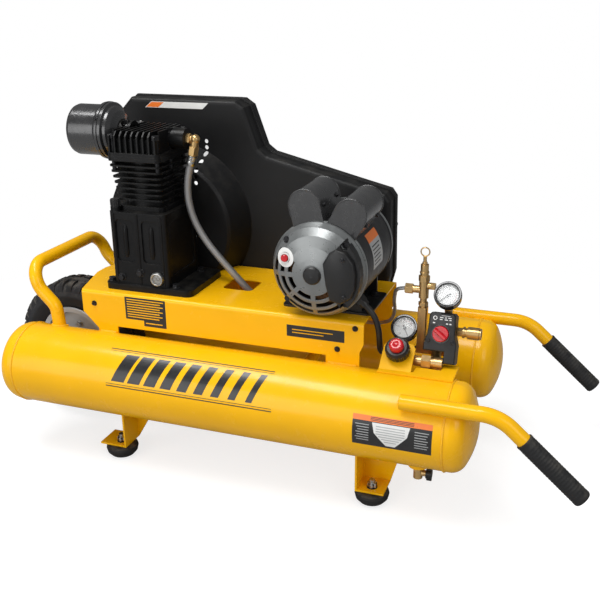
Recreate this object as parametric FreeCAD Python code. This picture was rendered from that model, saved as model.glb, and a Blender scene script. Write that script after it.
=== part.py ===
"""Portable twin-tank air compressor on one wheel, with a belt-driven pump.

Millimetres, +Z up, +X from the wheel to the grips.  The pieces are laid out from the wheel-end tip
of the tanks (x = 0), midway between the tanks (y = 0) and from the ground (z = 0).  Each sub-part is
then moved so that the origin lies on the ground under the middle of the whole machine.
"""

import FreeCAD, Part
import math
import os
from FreeCAD import Vector

X, Y, Z = Vector(1, 0, 0), Vector(0, 1, 0), Vector(0, 0, 1)

# ---- clearances -------------------------------------------------------------------------------
seat_gap = 0.3           # between painted or screwed pieces that only rest on each other
running = 0.05           # radial, shafts and pins in their bearings
free_gap = 0.5           # moving piece beside a fixed one

# ---- tanks ------------------------------------------------------------------------------------
tank_r = 76.2
tank_length = 914.0
tank_wall = 2.6
tank_y = 144.0           # each axis lies this far from the middle
tank_z = 174.0
crown_r = 137.2          # dished heads
knuckle_r = 25.9
tank_top = tank_z + tank_r

# ---- frame ------------------------------------------------------------------------------------
saddle_top = 325.0
saddle_half = 115.0
saddle_start = 150.0
saddle_end = 707.0
saddle_nose = 28.0       # how far the nose stands out past saddle_start
nose_half = 15.0
saddle_plate = 3.0
saddle_bend = 7.0
slot_start, slot_end, slot_height = 223.0, 639.0, 13.5
hose_hole = (402.0, 462.0, -25.0, 35.0)

handle_r = 12.7
handle_wall = 2.0
handle_start = tank_length - 119
handle_corner = tank_length + 38
handle_tip = (tank_length + 170, 119.5)
handle_bend = 70.0
grip_r = 15.2
grip_length = 128.0
grip_cap = 4.0

lift_r = 12.5
lift_y = 120.0
lift_route = [(96.0, 240.0), (92.0, 286.0), (60.0, 318.0), (42.0, 362.0)]

foot_x = (228.0, tank_length - 179)
foot_r = 31.0
foot_height = 25.0
foot_plate = 3.5
foot_bolt_r = 5.0

# ---- wheel ------------------------------------------------------------------------------------
wheel_x, wheel_z = 65.0, 170.0
wheel_r = 131.0
wheel_width = 89.0
rim_r = 74.0
hub_r = 19.0
hub_half = 36.0
axle_r = 8.0
axle_boss_r = 20.0
axle_boss_face = 46.0    # the boss face lies this far from the middle

# ---- pump -------------------------------------------------------------------------------------
pump_x = 267.0
pump_y = -28.0           # the cylinder's axis
crank_z = 417.0
case_half_x = 58.5
case_front, case_rear = -90.0, 35.0
case_top = 476.0
case_wall = 8.0
flange_height = 12.0
cylinder_top = 575.0
bore_r = 35.0
fin_count = 8
fin_thickness = 3.2
head_height = 44.0
stroke = 44.0
piston_height = 40.0
shaft_r = 12.5
rod_length = 105.0
filter_y, filter_z, filter_r = -20.0, 612.0, 47.0
filter_start = 116.0

# ---- belt drive -------------------------------------------------------------------------------
belt_y = 146.0
belt_width, belt_depth = 12.0, 8.0
belt_gap = 0.4
flywheel_belt_r = 136.0
pulley_belt_r = 38.0
flywheel_width = 30.0
guard_front_y = saddle_half + seat_gap
guard_back_y = 183.0
guard_split_y = 150.0
guard_wall = 3.0
scoop_x, scoop_z = 249.0, 412.0
scoop_front_y = 60.0
scoop_base_r, scoop_front_r = 158.0, 135.0

# ---- motor ------------------------------------------------------------------------------------
motor_x = 627.0
motor_height = 88.9      # from its base to its axis
motor_z = saddle_top + motor_height
motor_r = 82.5
motor_front, motor_rear = -108.0, 58.0
motor_wall = 3.0
motor_shaft_r = 7.94
bell_depth = 42.0
bell_bolt_r = 74.0

# ---- controls ---------------------------------------------------------------------------------
panel_x, panel_y, panel_z = tank_length - 148, -103.9, tank_top + 24.5
panel_tilt = 50.0        # the regulator points this far up from the horizontal
panel_plate = 3.5
shelf_z = tank_top + 0.2
switch_x, switch_y, switch_z = tank_length - 82, -97.0, tank_top + 11.8
switch_tilt = 20.0
switch_height = 86.0
switch_half = (28.0, 22.5)
cover_depth, base_depth = 23.0, 8.0
gauge_r = 23.0
gauge_tilt = 40.0
near_gauge = (panel_x - 5, -45.0, panel_z + 23.3)
tank_gauge = (switch_x + 5, -60.0, switch_z + 111)
manifold_x, manifold_y, manifold_half = tank_length - 121, -45.0, 8.0
manifold_top = tank_top + 90.8
drain_x = tank_length - 98


def vec(point):
    return Vector(*point)


def box(x, y, z):
    return Part.makeBox(x[1] - x[0], y[1] - y[0], z[1] - z[0], Vector(x[0], y[0], z[0]))


def rod(radius, start, end):
    run = vec(end) - vec(start)
    return Part.makeCylinder(radius, run.Length, vec(start), run)


def pipe(outer, inner, start, end):
    run = (vec(end) - vec(start)).normalize()
    return rod(outer, start, end).cut(rod(inner, vec(start) - run, vec(end) + run))


def fuse(shapes):
    joined = shapes[0].multiFuse(shapes[1:]) if len(shapes) > 1 else shapes[0]
    return joined.removeSplitter()


def polygon(points, low, high, across):
    """Outline points in the plane across an axis, extruded from low to high along that axis."""
    place = {"x": lambda a, b: Vector(low, a, b), "y": lambda a, b: Vector(a, low, b),
             "z": lambda a, b: Vector(a, b, low)}[across]
    along = {"x": X, "y": Y, "z": Z}[across]
    outline = Part.makePolygon([place(a, b) for a, b in points + points[:1]])
    return Part.Face(outline).extrude(along * (high - low))


def turned(profile, base=(0, 0, 0), axis=Z):
    """Revolve (radius, height) points about an axis that starts at base."""
    outline = Part.makePolygon([Vector(r, 0, h) for r, h in profile + profile[:1]])
    solid = Part.Face(outline).revolve(Vector(), Z, 360)
    return placed(solid, base, axis)


def placed(shape, base, axis):
    moved = shape.copy()
    moved.Placement = FreeCAD.Placement(vec(base), FreeCAD.Rotation(Z, axis))
    return moved


def leaned(shape, base, degrees):
    """Lean an upright piece back about the X axis, then stand it at base."""
    moved = shape.copy()
    moved.rotate(Vector(), X, -degrees)
    moved.translate(vec(base))
    return moved


def leaned_point(point, base, degrees):
    return FreeCAD.Rotation(X, -degrees).multVec(vec(point)) + vec(base)


def round_edges(shape, radius, along, chosen=lambda centre: True):
    edges = []
    for edge in shape.Edges:
        straight = edge.Curve.TypeId == "Part::GeomLine"
        if straight and abs(edge.tangentAt(edge.FirstParameter).dot(along)) > 0.99:
            if chosen(edge.CenterOfMass):
                edges.append(edge)
    return shape.makeFillet(radius, edges)


def route_wire(points, radii):
    """Straight runs joined by tangent arcs."""
    points = [vec(p) for p in points]
    edges = []
    start = points[0]
    for before, corner, after, radius in zip(points, points[1:], points[2:], radii):
        into = (corner - before).normalize()
        out = (after - corner).normalize()
        turn = into.getAngle(out)
        reach = radius * math.tan(turn / 2)
        first, last = corner - into * reach, corner + out * reach
        inward = (out - into).normalize()
        middle = corner + inward * (radius / math.cos(turn / 2) - radius)
        if (first - start).Length > 0.01:
            edges.append(Part.LineSegment(start, first).toShape())
        edges.append(Part.Arc(first, middle, last).toShape())
        start = last
    edges.append(Part.LineSegment(start, points[-1]).toShape())
    return Part.Wire(edges)


def swept(points, radii, section_r):
    wire = route_wire(points, radii)
    direction = (vec(points[1]) - vec(points[0])).normalize()
    section = Part.Wire(Part.makeCircle(section_r, vec(points[0]), direction))
    return wire.makePipeShell([section], True, False)


def limp_radii(points):
    """The largest arc that the two runs beside each point allow."""
    points = [vec(p) for p in points]
    radii = []
    for before, corner, after in zip(points, points[1:], points[2:]):
        turn = (corner - before).getAngle(after - corner)
        shorter = min((corner - before).Length, (after - corner).Length)
        radii.append(0.45 * shorter / math.tan(turn / 2))
    return radii


def belt_loop(first, first_r, second, second_r, low, high):
    """The closed band round two circles, as a solid disc outline extruded along Y."""
    run = Vector(second[0] - first[0], 0, second[1] - first[1])
    lean = math.acos((first_r - second_r) / run.Length)
    heading = math.atan2(run.z, run.x)

    def spot(centre, radius, angle):
        return Vector(centre[0] + radius * math.cos(angle), low, centre[1] + radius * math.sin(angle))

    top_first, top_second = (spot(first, first_r, heading + lean), spot(second, second_r, heading + lean))
    low_first, low_second = (spot(first, first_r, heading - lean), spot(second, second_r, heading - lean))
    edges = [Part.LineSegment(top_first, top_second).toShape(),
             Part.Arc(top_second, spot(second, second_r, heading), low_second).toShape(),
             Part.LineSegment(low_second, low_first).toShape(),
             Part.Arc(low_first, spot(first, first_r, heading + math.pi), top_first).toShape()]
    return Part.Face(Part.Wire(edges)).extrude(Y * (high - low))


# ---- tanks and frame --------------------------------------------------------------------------
def tank_form(inset, side):
    """A dished cylinder along X, inset from the tank's outside all round."""
    radius, crown, knuckle = tank_r - inset, crown_r - inset, knuckle_r - inset
    centre_r = tank_r - knuckle_r
    depth = crown_r - math.sqrt((crown_r - knuckle_r) ** 2 - centre_r ** 2)
    slant = math.atan2(centre_r, crown_r - depth)

    def head(sign, tip):
        def at(radial, height):
            return Vector(tip + sign * height, 0, radial)

        top = at(0, inset)
        crown_mid = at(crown * math.sin(slant / 2), crown_r - crown * math.cos(slant / 2))
        join = at(crown * math.sin(slant), crown_r - crown * math.cos(slant))
        half = (slant + math.pi / 2) / 2
        knuckle_mid = at(centre_r + knuckle * math.sin(half), depth - knuckle * math.cos(half))
        edge = at(radius, depth)
        return top, Part.Arc(top, crown_mid, join), Part.Arc(join, knuckle_mid, edge), edge

    tip_a, crown_a, knuckle_a, edge_a = head(1, 0.0)
    tip_b, crown_b, knuckle_b, edge_b = head(-1, tank_length)
    edges = [crown_a.toShape(), knuckle_a.toShape(), Part.LineSegment(edge_a, edge_b).toShape(),
             knuckle_b.toShape(), crown_b.toShape(), Part.LineSegment(tip_b, tip_a).toShape()]
    solid = Part.Face(Part.Wire(Part.__sortEdges__(edges))).revolve(Vector(), X, 360)
    solid.translate(Vector(0, side * tank_y, tank_z))
    return solid


def tank_round(side, extra=0.0):
    """The tank's straight outside, as a cutting tool that leaves a seat on it."""
    return rod(tank_r + extra, (-50, side * tank_y, tank_z), (tank_length + 50, side * tank_y, tank_z))


def shoulder(side, angle, distance):
    """A point in the tank's cross-section: angle up from its inner side, distance from its axis."""
    reach = math.radians(angle)
    return side * (tank_y - distance * math.cos(reach)), tank_z + distance * math.sin(reach)


cross_x, cross_r = 560.0, 10.5
port_r = 6.0
outlet_x = tank_length - 92
check_x = 482.0


def port_run(side, angle, near, far, x):
    return (x, *shoulder(side, angle, near)), (x, *shoulder(side, angle, far))


def tank(side):
    shell = tank_form(0.0, side).cut(tank_form(tank_wall, side))
    holes = [rod(port_r, (drain_x, side * tank_y, 0), (drain_x, side * tank_y, tank_z)),
             rod(port_r, (cross_x, side * tank_y, tank_z), (cross_x, 0, tank_z))]
    if side < 0:
        holes.append(rod(port_r, *port_run(side, 45, 0, tank_r + 20, outlet_x)))
    else:
        holes.append(rod(port_r, *port_run(side, 45, 0, tank_r + 20, check_x)))
    for hole in holes:
        shell = shell.cut(hole)
    return shell


bung_r = 17.5
bung_height = 9.0


def tank_bungs():
    """Welded threaded rings: one drain ring under each tank, the outlet and the check valve rings."""
    rings = []
    for side in (-1, 1):
        base = (drain_x, side * tank_y, tank_z - tank_r - bung_height)
        rings.append(pipe(bung_r, port_r, base, (drain_x, side * tank_y, tank_z)).cut(tank_round(side)))
    for side, x in ((-1, outlet_x), (1, check_x)):
        start, end = port_run(side, 45, tank_r - 20, tank_r + bung_height, x)
        rings.append(pipe(bung_r, port_r, start, end).cut(tank_round(side)))
    return rings


def crossover_pipe():
    inner = tank_y - tank_r
    tube = pipe(cross_r, port_r, (cross_x, -inner - 8, tank_z), (cross_x, inner + 8, tank_z))
    for side in (-1, 1):
        tube = tube.cut(tank_round(side))
    return tube


def saddle():
    body = box((saddle_start - saddle_nose, saddle_end), (-saddle_half, saddle_half), (tank_z, saddle_top))
    hollow_half = saddle_half - saddle_plate
    hollow = box((0, 1000), (-hollow_half, hollow_half), (0, saddle_top - saddle_plate))
    body = round_edges(body, saddle_bend, X, lambda c: c.z > saddle_top - 1)
    hollow = round_edges(hollow, saddle_bend - saddle_plate, X, lambda c: c.z > saddle_top - 10)
    body = body.cut(hollow)
    nose_x = saddle_start - saddle_nose
    plan = polygon([(nose_x, -nose_half), (nose_x, nose_half), (saddle_start, saddle_half),
                    (saddle_end, saddle_half), (saddle_end, -saddle_half), (saddle_start, -saddle_half)],
                   0, 400, "z")
    body = body.common(plan)
    skirt_end = saddle_end - 7
    side = polygon([(nose_x - 5, saddle_top + 5), (nose_x - 5, 281), (saddle_start, 281), (181, 250),
                    (181, tank_z), (slot_start, tank_z), (slot_start, slot_z()), (slot_end, slot_z()),
                    (slot_end, tank_z), (skirt_end, tank_z), (skirt_end, 270), (saddle_end, 285),
                    (saddle_end, saddle_top + 5)], -saddle_half - 5, saddle_half + 5, "y")
    body = body.common(side)
    for hand in (-1, 1):
        body = body.cut(tank_round(hand))
    x0, x1, y0, y1 = hose_hole
    body = body.cut(round_edges(box((x0, x1), (y0, y1), (300, 340)), 10, Z))
    for x, y in pump_bolt_spots() + motor_bolt_spots():
        body = body.cut(rod(base_bolt_r + 0.6, (x, y, 300), (x, y, 340)))
    for x, z in saddle_screw_spots():
        body = body.cut(rod(screw_hole_r, (x, 100, z), (x, 130, z)))
    return body.removeSplitter()


def slot_z():
    """The skirt's raised edge, which leaves the long slot over the tank."""
    inner = tank_y - saddle_half
    return tank_z + math.sqrt(tank_r ** 2 - inner ** 2) + slot_height


base_bolt_r = 4.0


def pump_bolt_spots():
    return [(pump_x + dx, pump_y + dy) for dx in (-68, 68) for dy in (-52, 52)]


def motor_bolt_spots():
    return [(motor_x + dx, -20 + dy) for dx in (-62, 62) for dy in (-38.1, 38.1)]


def base_bolt(x, y, low, high):
    """A hex bolt with a washer and a nut, clamping from low to high."""
    parts = [hexagon(13.0, (x, y, high + 1.6), (x, y, high + 7.0)),
             rod(8.5, (x, y, high), (x, y, high + 1.6)),
             rod(base_bolt_r, (x, y, low - 10), (x, y, high + 2)),
             hexagon(13.0, (x, y, low - 6.5), (x, y, low))]
    return fuse(parts)


def hexagon(width, start, end):
    """A hexagonal bar, width across its flats."""
    run = vec(end) - vec(start)
    reach = width / math.sqrt(3)
    points = [Vector(reach * math.cos(math.pi * n / 3), reach * math.sin(math.pi * n / 3), 0)
              for n in range(7)]
    bar = Part.Face(Part.makePolygon(points)).extrude(Z * run.Length)
    return placed(bar, start, run)


def lift_handle():
    side = [(x, -lift_y, z) for x, z in lift_route]
    points = side + [(x, -y, z) for x, y, z in reversed(side)]
    radii = [28, 45, 38, 38, 45, 28]
    bar = swept(points, radii, lift_r).cut(swept(points, radii, lift_r - handle_wall))
    for hand in (-1, 1):
        bar = bar.cut(tank_round(hand))
    return bar


def handle_line(side):
    reach = (tank_r + handle_r + seat_gap) / math.sqrt(2)
    y, z = side * (tank_y + reach), tank_z + reach
    return [(handle_start, y, z), (handle_corner, y, z), (handle_tip[0], y, handle_tip[1])]


def handle(side):
    points = handle_line(side)
    return swept(points, [handle_bend], handle_r).cut(swept(points, [handle_bend], handle_r - handle_wall))


def grip(side):
    corner, tip = (vec(p) for p in handle_line(side)[1:])
    along = (tip - corner).normalize()
    end = tip + along * grip_cap
    start = end - along * grip_length
    sleeve = rod(grip_r, start, end).cut(rod(handle_r + 0.02, start - along, tip + along * 0.02))
    return sleeve


def foot_pads():
    return [(x, side) for side in (-1, 1) for x in foot_x]


def foot_bracket(x, side):
    """Bent plate: a pad over the foot, a web across and a back plate along the tank."""
    front, back = side * (tank_y + 18), side * (tank_y - 34)
    y = (min(front, back), max(front, back))
    high = foot_height + foot_plate
    if x < tank_length / 2:
        pad_x, web_x = (x - 37, x + 19), (x + 15.5, x + 19)
        outline = [(x + 15.5, foot_height), (x + 19, foot_height), (x + 72, tank_z - 60),
                   (x + 72, tank_z), (x + 15.5, tank_z)]
    else:
        pad_x, web_x = (x - 27, x + 25), (x - 27, x - 23.5)
        outline = [(x - 27, foot_height), (x + 25, foot_height), (x + 48, tank_z - 68),
                   (x + 48, tank_z), (x - 27, tank_z)]
    plate_y = sorted((back, back + side * foot_plate))
    pad = box(pad_x, y, (foot_height, high))
    web = box(web_x, y, (foot_height, tank_z))
    plate = polygon(outline, plate_y[0], plate_y[1], "y")
    bracket = fuse([pad, web, plate]).cut(tank_round(side))
    return bracket.cut(rod(foot_bolt_r + 0.5, (x, side * tank_y, 0), (x, side * tank_y, high + 1)))


def foot_brackets():
    return [foot_bracket(x, side) for x, side in foot_pads()]


def rubber_feet():
    """Domed rubber feet, each with a sunk steel washer seat for its bolt."""
    profile = [(foot_bolt_r + 0.2, foot_height), (foot_r - 5, foot_height), (foot_r - 1, foot_height - 3),
               (foot_r, foot_height - 7), (foot_r - 2, 10), (foot_r - 8, 3.2), (foot_r - 15, 0),
               (11, 0), (11, 8), (foot_bolt_r + 0.2, 8)]
    return [turned(profile, (x, side * tank_y, 0)) for x, side in foot_pads()]


def foot_bolts():
    bolts = []
    for x, side in foot_pads():
        y, top = side * tank_y, foot_height + foot_plate
        bolts.append(fuse([rod(9.5, (x, y, 6), (x, y, 8)), rod(foot_bolt_r, (x, y, 3), (x, y, top + 15)),
                           rod(9.5, (x, y, top), (x, y, top + 1.8)),
                           hexagon(15.0, (x, y, top + 1.8), (x, y, top + 9.5))]))
    return bolts


# ---- wheel ------------------------------------------------------------------------------------
def tyre():
    half = wheel_width / 2
    bead = rim_r + 0.1
    section = [(bead, -28), (bead + 6, -33), (bead + 18, -half + 3), (bead + 30, -half), (wheel_r - 16, -half + 2),
               (wheel_r - 7, -half + 8), (wheel_r - 1.5, -half + 20), (wheel_r, -14), (wheel_r, 14),
               (wheel_r - 1.5, half - 20), (wheel_r - 7, half - 8), (wheel_r - 16, half - 2), (bead + 30, half),
               (bead + 18, half - 3), (bead + 6, 33), (bead, 28)]
    return turned(section, (wheel_x, 0, wheel_z), Y)


def rim():
    """Two pressed bowls and a hub, with a flange each side of the tyre's beads."""
    flange = rim_r + 5
    bore = axle_r + running
    section = [(bore, -hub_half), (hub_r, -hub_half), (hub_r, -14), (rim_r - 12, -14), (rim_r - 6, -24),
               (rim_r - 6, -36), (flange - 2, -37.5), (flange, -35), (rim_r, -32), (rim_r, -28), (rim_r, 28),
               (rim_r, 32), (flange, 35), (flange - 2, 37.5), (rim_r - 6, 36), (rim_r - 6, 24), (rim_r - 12, 14),
               (hub_r, 14), (hub_r, hub_half), (bore, hub_half)]
    return turned(section, (wheel_x, 0, wheel_z), Y)


def axle():
    """A plain bar with a locking collar against each boss."""
    reach = tank_y - tank_r - 4
    parts = [rod(axle_r, (wheel_x, -reach, wheel_z), (wheel_x, reach, wheel_z))]
    for side in (-1, 1):
        parts.append(hexagon(24.0, (wheel_x, side * (hub_half + free_gap), wheel_z),
                             (wheel_x, side * axle_boss_face, wheel_z)))
    return fuse(parts)


def axle_bosses():
    bosses = []
    for side in (-1, 1):
        start, end = (wheel_x, side * axle_boss_face, wheel_z), (wheel_x, side * tank_y, wheel_z)
        boss = pipe(axle_boss_r, axle_r + 0.02, start, end)
        bosses.append(boss.cut(tank_round(side)))
    return bosses


# ---- pump -------------------------------------------------------------------------------------
case_base = saddle_top + flange_height
cylinder_half = (47.0, 46.0)
head_half = (53.0, 61.0)
head_base = cylinder_top + 4.0
head_top = head_base + head_height
housing_r = 40.0
housing_end = 72.0
plug_x, plug_y = 219.0, -80.0


def crankcase():
    """The cast box with its base flange, recessed front panels and rear bearing housing."""
    y_mid = (case_front + case_rear) / 2
    flange = round_edges(box((pump_x - 77, pump_x + 105), (case_front - 5, case_rear + 10),
                             (saddle_top, case_base)), 14, Z)
    shell = round_edges(box((pump_x - case_half_x, pump_x + case_half_x), (case_front, case_rear),
                            (case_base, case_top)), 8, Z)
    housing = rod(housing_r, (pump_x, case_rear - 5, crank_z), (pump_x, housing_end - 8, crank_z))
    turret = rod(9.5, (plug_x, plug_y, case_top - 30), (plug_x, plug_y, case_top + 8))
    body = fuse([flange, shell, housing, turret])
    inside = box((pump_x - case_half_x + case_wall, pump_x + case_half_x - case_wall),
                 (case_front + case_wall, case_rear - case_wall), (case_base, case_top - case_wall))
    body = body.cut(inside)
    body = body.cut(rod(bore_r + 4, (pump_x, pump_y, case_top - 20), (pump_x, pump_y, case_top + 20)))
    body = body.cut(rod(bearing_r, (pump_x, 0, crank_z), (pump_x, housing_end, crank_z)))
    for left, right in ((-46, -8), (8, 46)):
        panel = round_edges(box((pump_x + left, pump_x + right), (case_front - 1, case_front + 3),
                                (case_base + 44, case_top - 14)), 8, Y)
        body = body.cut(panel)
    for side in (-1, 1):
        x = pump_x + side * case_half_x
        panel = round_edges(box((x - 3, x + 3), (y_mid - 46, y_mid + 46), (case_base + 20, case_top - 18)), 8, X)
        body = body.cut(panel)
    body = body.cut(rod(glass_r - 4, (glass_x, case_front - 5, glass_z), (glass_x, case_front + 20, glass_z)))
    body = body.cut(rod(plug_r + running, (plug_x, plug_y, case_top - 13), (plug_x, plug_y, case_top + 20)))
    for x, y in pump_bolt_spots():
        body = body.cut(rod(base_bolt_r + 0.6, (x, y, 300), (x, y, 345)))
    return body


bearing_r = 31.0
glass_x, glass_z, glass_r = 303.0, 354.0, 13.5
plug_r = 6.0


def bearing_cover():
    """The bolted cover that closes the rear bearing housing round the shaft."""
    cover = turned([(shaft_r + 1, 0), (housing_r, 0), (housing_r, 6), (housing_r - 6, 9), (shaft_r + 7, 9),
                    (shaft_r + 7, 14), (shaft_r + 1, 14)], (pump_x, housing_end - 8, crank_z), Y)
    parts = [cover]
    for n in range(6):
        angle = math.pi * (n + 0.5) / 3
        x, z = pump_x + 34 * math.cos(angle), crank_z + 34 * math.sin(angle)
        parts.append(hexagon(8.0, (x, housing_end - 3, z), (x, housing_end + 3, z)))
    return fuse(parts)


def crank_bearings():
    rings = []
    for y in (22.0, 48.0):
        rings.append(pipe(bearing_r, shaft_r + running, (pump_x, y, crank_z), (pump_x, y + 15, crank_z)))
    return rings


def sight_glass():
    return turned([(0, 0), (glass_r - 4, 0), (glass_r - 4, 11), (glass_r - 6, 12), (0, 12.5)],
                  (glass_x, case_front + 5, glass_z), -Y)


def sight_ring():
    return turned([(glass_r - 4, 0), (glass_r, 0), (glass_r, 6), (glass_r - 2, 8), (glass_r - 4, 8)],
                  (glass_x, case_front, glass_z), -Y)


def oil_plug():
    """The filler plug with its dipstick."""
    return fuse([rod(plug_r, (plug_x, plug_y, case_top - 12), (plug_x, plug_y, case_top + 9)),
                 rod(8.5, (plug_x, plug_y, case_top + 8 + seat_gap), (plug_x, plug_y, case_top + 22)),
                 rod(1.6, (plug_x, plug_y, case_top - 90), (plug_x, plug_y, case_top))])


def cylinder():
    """The finned barrel, wider towards its head."""
    low, high = case_top, cylinder_top
    barrel = rod(bore_r + 8, (pump_x, pump_y, low), (pump_x, pump_y, high))
    foot = round_edges(box((pump_x - 47, pump_x + 47), (pump_y - 46, pump_y + 46), (low, low + 9)), 12, Z)
    parts = [barrel, foot]
    pitch = (high - low - 14) / fin_count
    for n in range(fin_count):
        share = n / (fin_count - 1)
        half_x = cylinder_half[0] + share * (head_half[0] - cylinder_half[0])
        half_y = cylinder_half[1] + share * (head_half[1] - cylinder_half[1])
        z = low + 14 + (n + 0.5) * pitch
        fin = box((pump_x - half_x, pump_x + half_x), (pump_y - half_y, pump_y + half_y), (z, z + fin_thickness))
        parts.append(round_edges(fin, 10, Z))
    top = box((pump_x - head_half[0], pump_x + head_half[0]),
              (pump_y - head_half[1], pump_y + head_half[1]), (high - 4, high))
    parts.append(round_edges(top, 10, Z))
    body = fuse(parts)
    body = body.cut(rod(bore_r, (pump_x, pump_y, low - 1), (pump_x, pump_y, high + 1)))
    for x, y in head_bolt_spots():
        body = body.cut(rod(head_bolt_r + 0.3, (x, y, high - 30), (x, y, high + 1)))
    return body


head_bolt_r = 4.0


def head_bolt_spots():
    return [(pump_x + dx, pump_y + dy) for dx in (-44, 44) for dy in (-50, 0, 50)]


def valve_plate():
    """The plate and gaskets between the barrel and the head."""
    plate = round_edges(box((pump_x - head_half[0], pump_x + head_half[0]),
                            (pump_y - head_half[1], pump_y + head_half[1]), (cylinder_top, head_base)), 10, Z)
    for dx in (-15, 15):
        plate = plate.cut(rod(6, (pump_x + dx, pump_y, 0), (pump_x + dx, pump_y, 900)))
    for x, y in head_bolt_spots():
        plate = plate.cut(rod(head_bolt_r + 0.3, (x, y, 0), (x, y, 900)))
    return plate


def cylinder_head():
    """A cast block with vertical fins on its front and ribs along its top; ports left and right."""
    core_z = head_base + 30
    core = round_edges(box((pump_x - head_half[0] + 6, pump_x + head_half[0] - 6),
                           (pump_y - head_half[1] + 8, pump_y + head_half[1] - 8), (head_base, core_z)), 6, Z)
    sole = round_edges(box((pump_x - head_half[0], pump_x + head_half[0]),
                           (pump_y - head_half[1], pump_y + head_half[1]), (head_base, head_base + 6)), 10, Z)
    parts = [core, sole]
    for n in range(9):
        x = pump_x - 46 + n * 11.5
        parts.append(polygon([(pump_y - head_half[1] + 1, head_base), (pump_y + head_half[1] - 1, head_base),
                              (pump_y + head_half[1] - 1, head_top - 8), (pump_y + head_half[1] - 9, head_top),
                              (pump_y - head_half[1] + 9, head_top), (pump_y - head_half[1] + 1, head_top - 8)],
                             x - 1.6, x + 1.6, "x"))
    for side, z, reach, radius in ((-1, filter_z, 16, port_out_r), (1, discharge_z, discharge_reach, 19)):
        start = (pump_x + side * (head_half[0] - 22), filter_y, z)
        parts.append(rod(radius, start, (pump_x + side * (head_half[0] + reach), filter_y, z)))
    body = fuse(parts)
    for side, z, radius, reach in ((-1, filter_z, 12, 90), (1, discharge_z, 6.5, 90)):
        body = body.cut(rod(radius, (pump_x + side * 20, filter_y, z), (pump_x + side * reach, filter_y, z)))
    for dx in (-15, 15):
        chamber = box((pump_x + dx - 11, pump_x + dx + 11), (pump_y - 24, pump_y + 24), (head_base, head_base + 22))
        body = body.cut(chamber)
    for x, y in head_bolt_spots():
        body = body.cut(rod(head_bolt_r + 0.3, (x, y, 0), (x, y, 900)))
        body = body.cut(rod(8.5, (x, y, head_base + 30), (x, y, 900)))
    return body


discharge_z = 604.0
discharge_reach = 24.0
port_out_r = 20.0


def head_bolts():
    bolts = []
    for x, y in head_bolt_spots():
        seat = head_base + 30
        bolts.append(fuse([rod(head_bolt_r, (x, y, cylinder_top - 25), (x, y, seat + 1)),
                           hexagon(13.0, (x, y, seat), (x, y, seat + 8))]))
    return bolts


def filter_cover():
    """The outer half of the intake canister, with its rolled rim."""
    r = filter_r
    profile = [(0, 0), (r - 7, 0), (r - 2, 2), (r, 7), (r, 60), (r + 5, 62), (r + 6, 66), (r + 6, 70), (r + 2, 71),
               (r - 3, 71), (r - 3, 7), (r - 7, 3), (0, 3)]
    return turned(profile, (filter_start, filter_y, filter_z), X)


def filter_base():
    """The inner half, tapered to the collar that slips over the head's port."""
    r = filter_r
    collar = port_out_r + seat_gap
    end = pump_x - head_half[0] - 2 - filter_start
    profile = [(r - 8, 71.2), (r + 5, 71.2), (r + 5, 77), (r - 1, 79), (r - 2, 84), (r - 10, 90), (r - 20, 94),
               (collar + 2.5, end), (collar, end), (collar, 91), (r - 21, 91), (r - 11, 87), (r - 5, 82),
               (r - 5, 76), (r - 8, 76)]
    return turned(profile, (filter_start, filter_y, filter_z), X)


def filter_element():
    x0 = filter_start
    return pipe(filter_r - 9, 18, (x0 + 4, filter_y, filter_z), (x0 + 71, filter_y, filter_z))


def crankshaft():
    """The overhung crank: shaft, web with its counterweight, and a short pin."""
    web_front, web_rear = pump_y + 12, pump_y + 25
    pin_z = crank_z + stroke / 2
    shaft = rod(shaft_r, (pump_x, web_rear - 2, crank_z), (pump_x, belt_y + flywheel_width / 2 + 4, crank_z))
    web = rod(15, (pump_x, web_front, pin_z), (pump_x, web_rear, pin_z))
    arm = box((pump_x - 15, pump_x + 15), (web_front, web_rear), (crank_z, pin_z))
    weight = rod(38, (pump_x, web_front, crank_z), (pump_x, web_rear, crank_z)).common(
        box((pump_x - 38, pump_x + 38), (web_front, web_rear), (crank_z - 38, crank_z + 4)))
    pin = rod(9, (pump_x, web_front - 3, pin_z), (pump_x, web_rear, pin_z))
    nut = hexagon(22.0, (pump_x, belt_y + flywheel_width / 2, crank_z),
                  (pump_x, belt_y + flywheel_width / 2 + 8, crank_z))
    return fuse([shaft, web, arm, weight, pin, nut])


def flywheel():
    """The spoked fan flywheel, grooved for the belt."""
    outer = flywheel_belt_r + belt_depth + 2
    floor = flywheel_belt_r - belt_gap
    low, high = -flywheel_width / 2, flywheel_width / 2
    groove = belt_width / 2 + belt_gap
    rim_in = floor - 9
    section = [(rim_in, low), (outer, low), (outer, -groove), (floor, -groove), (floor, groove), (outer, groove),
               (outer, high), (rim_in, high)]
    parts = [turned(section, (pump_x, belt_y, crank_z), Y),
             rod(28, (pump_x, belt_y + low, crank_z), (pump_x, belt_y + high, crank_z))]
    for n in range(6):
        blade = box((20, rim_in + 2), (-9, 9), (-4, 4))
        blade.rotate(Vector(), X, 32)
        blade.rotate(Vector(), Y, 60 * n)
        blade.translate(Vector(pump_x, belt_y, crank_z))
        parts.append(blade)
    body = fuse(parts)
    return body.cut(rod(shaft_r, (pump_x, 0, crank_z), (pump_x, 300, crank_z)))


piston_top = cylinder_top - 3.0


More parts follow.
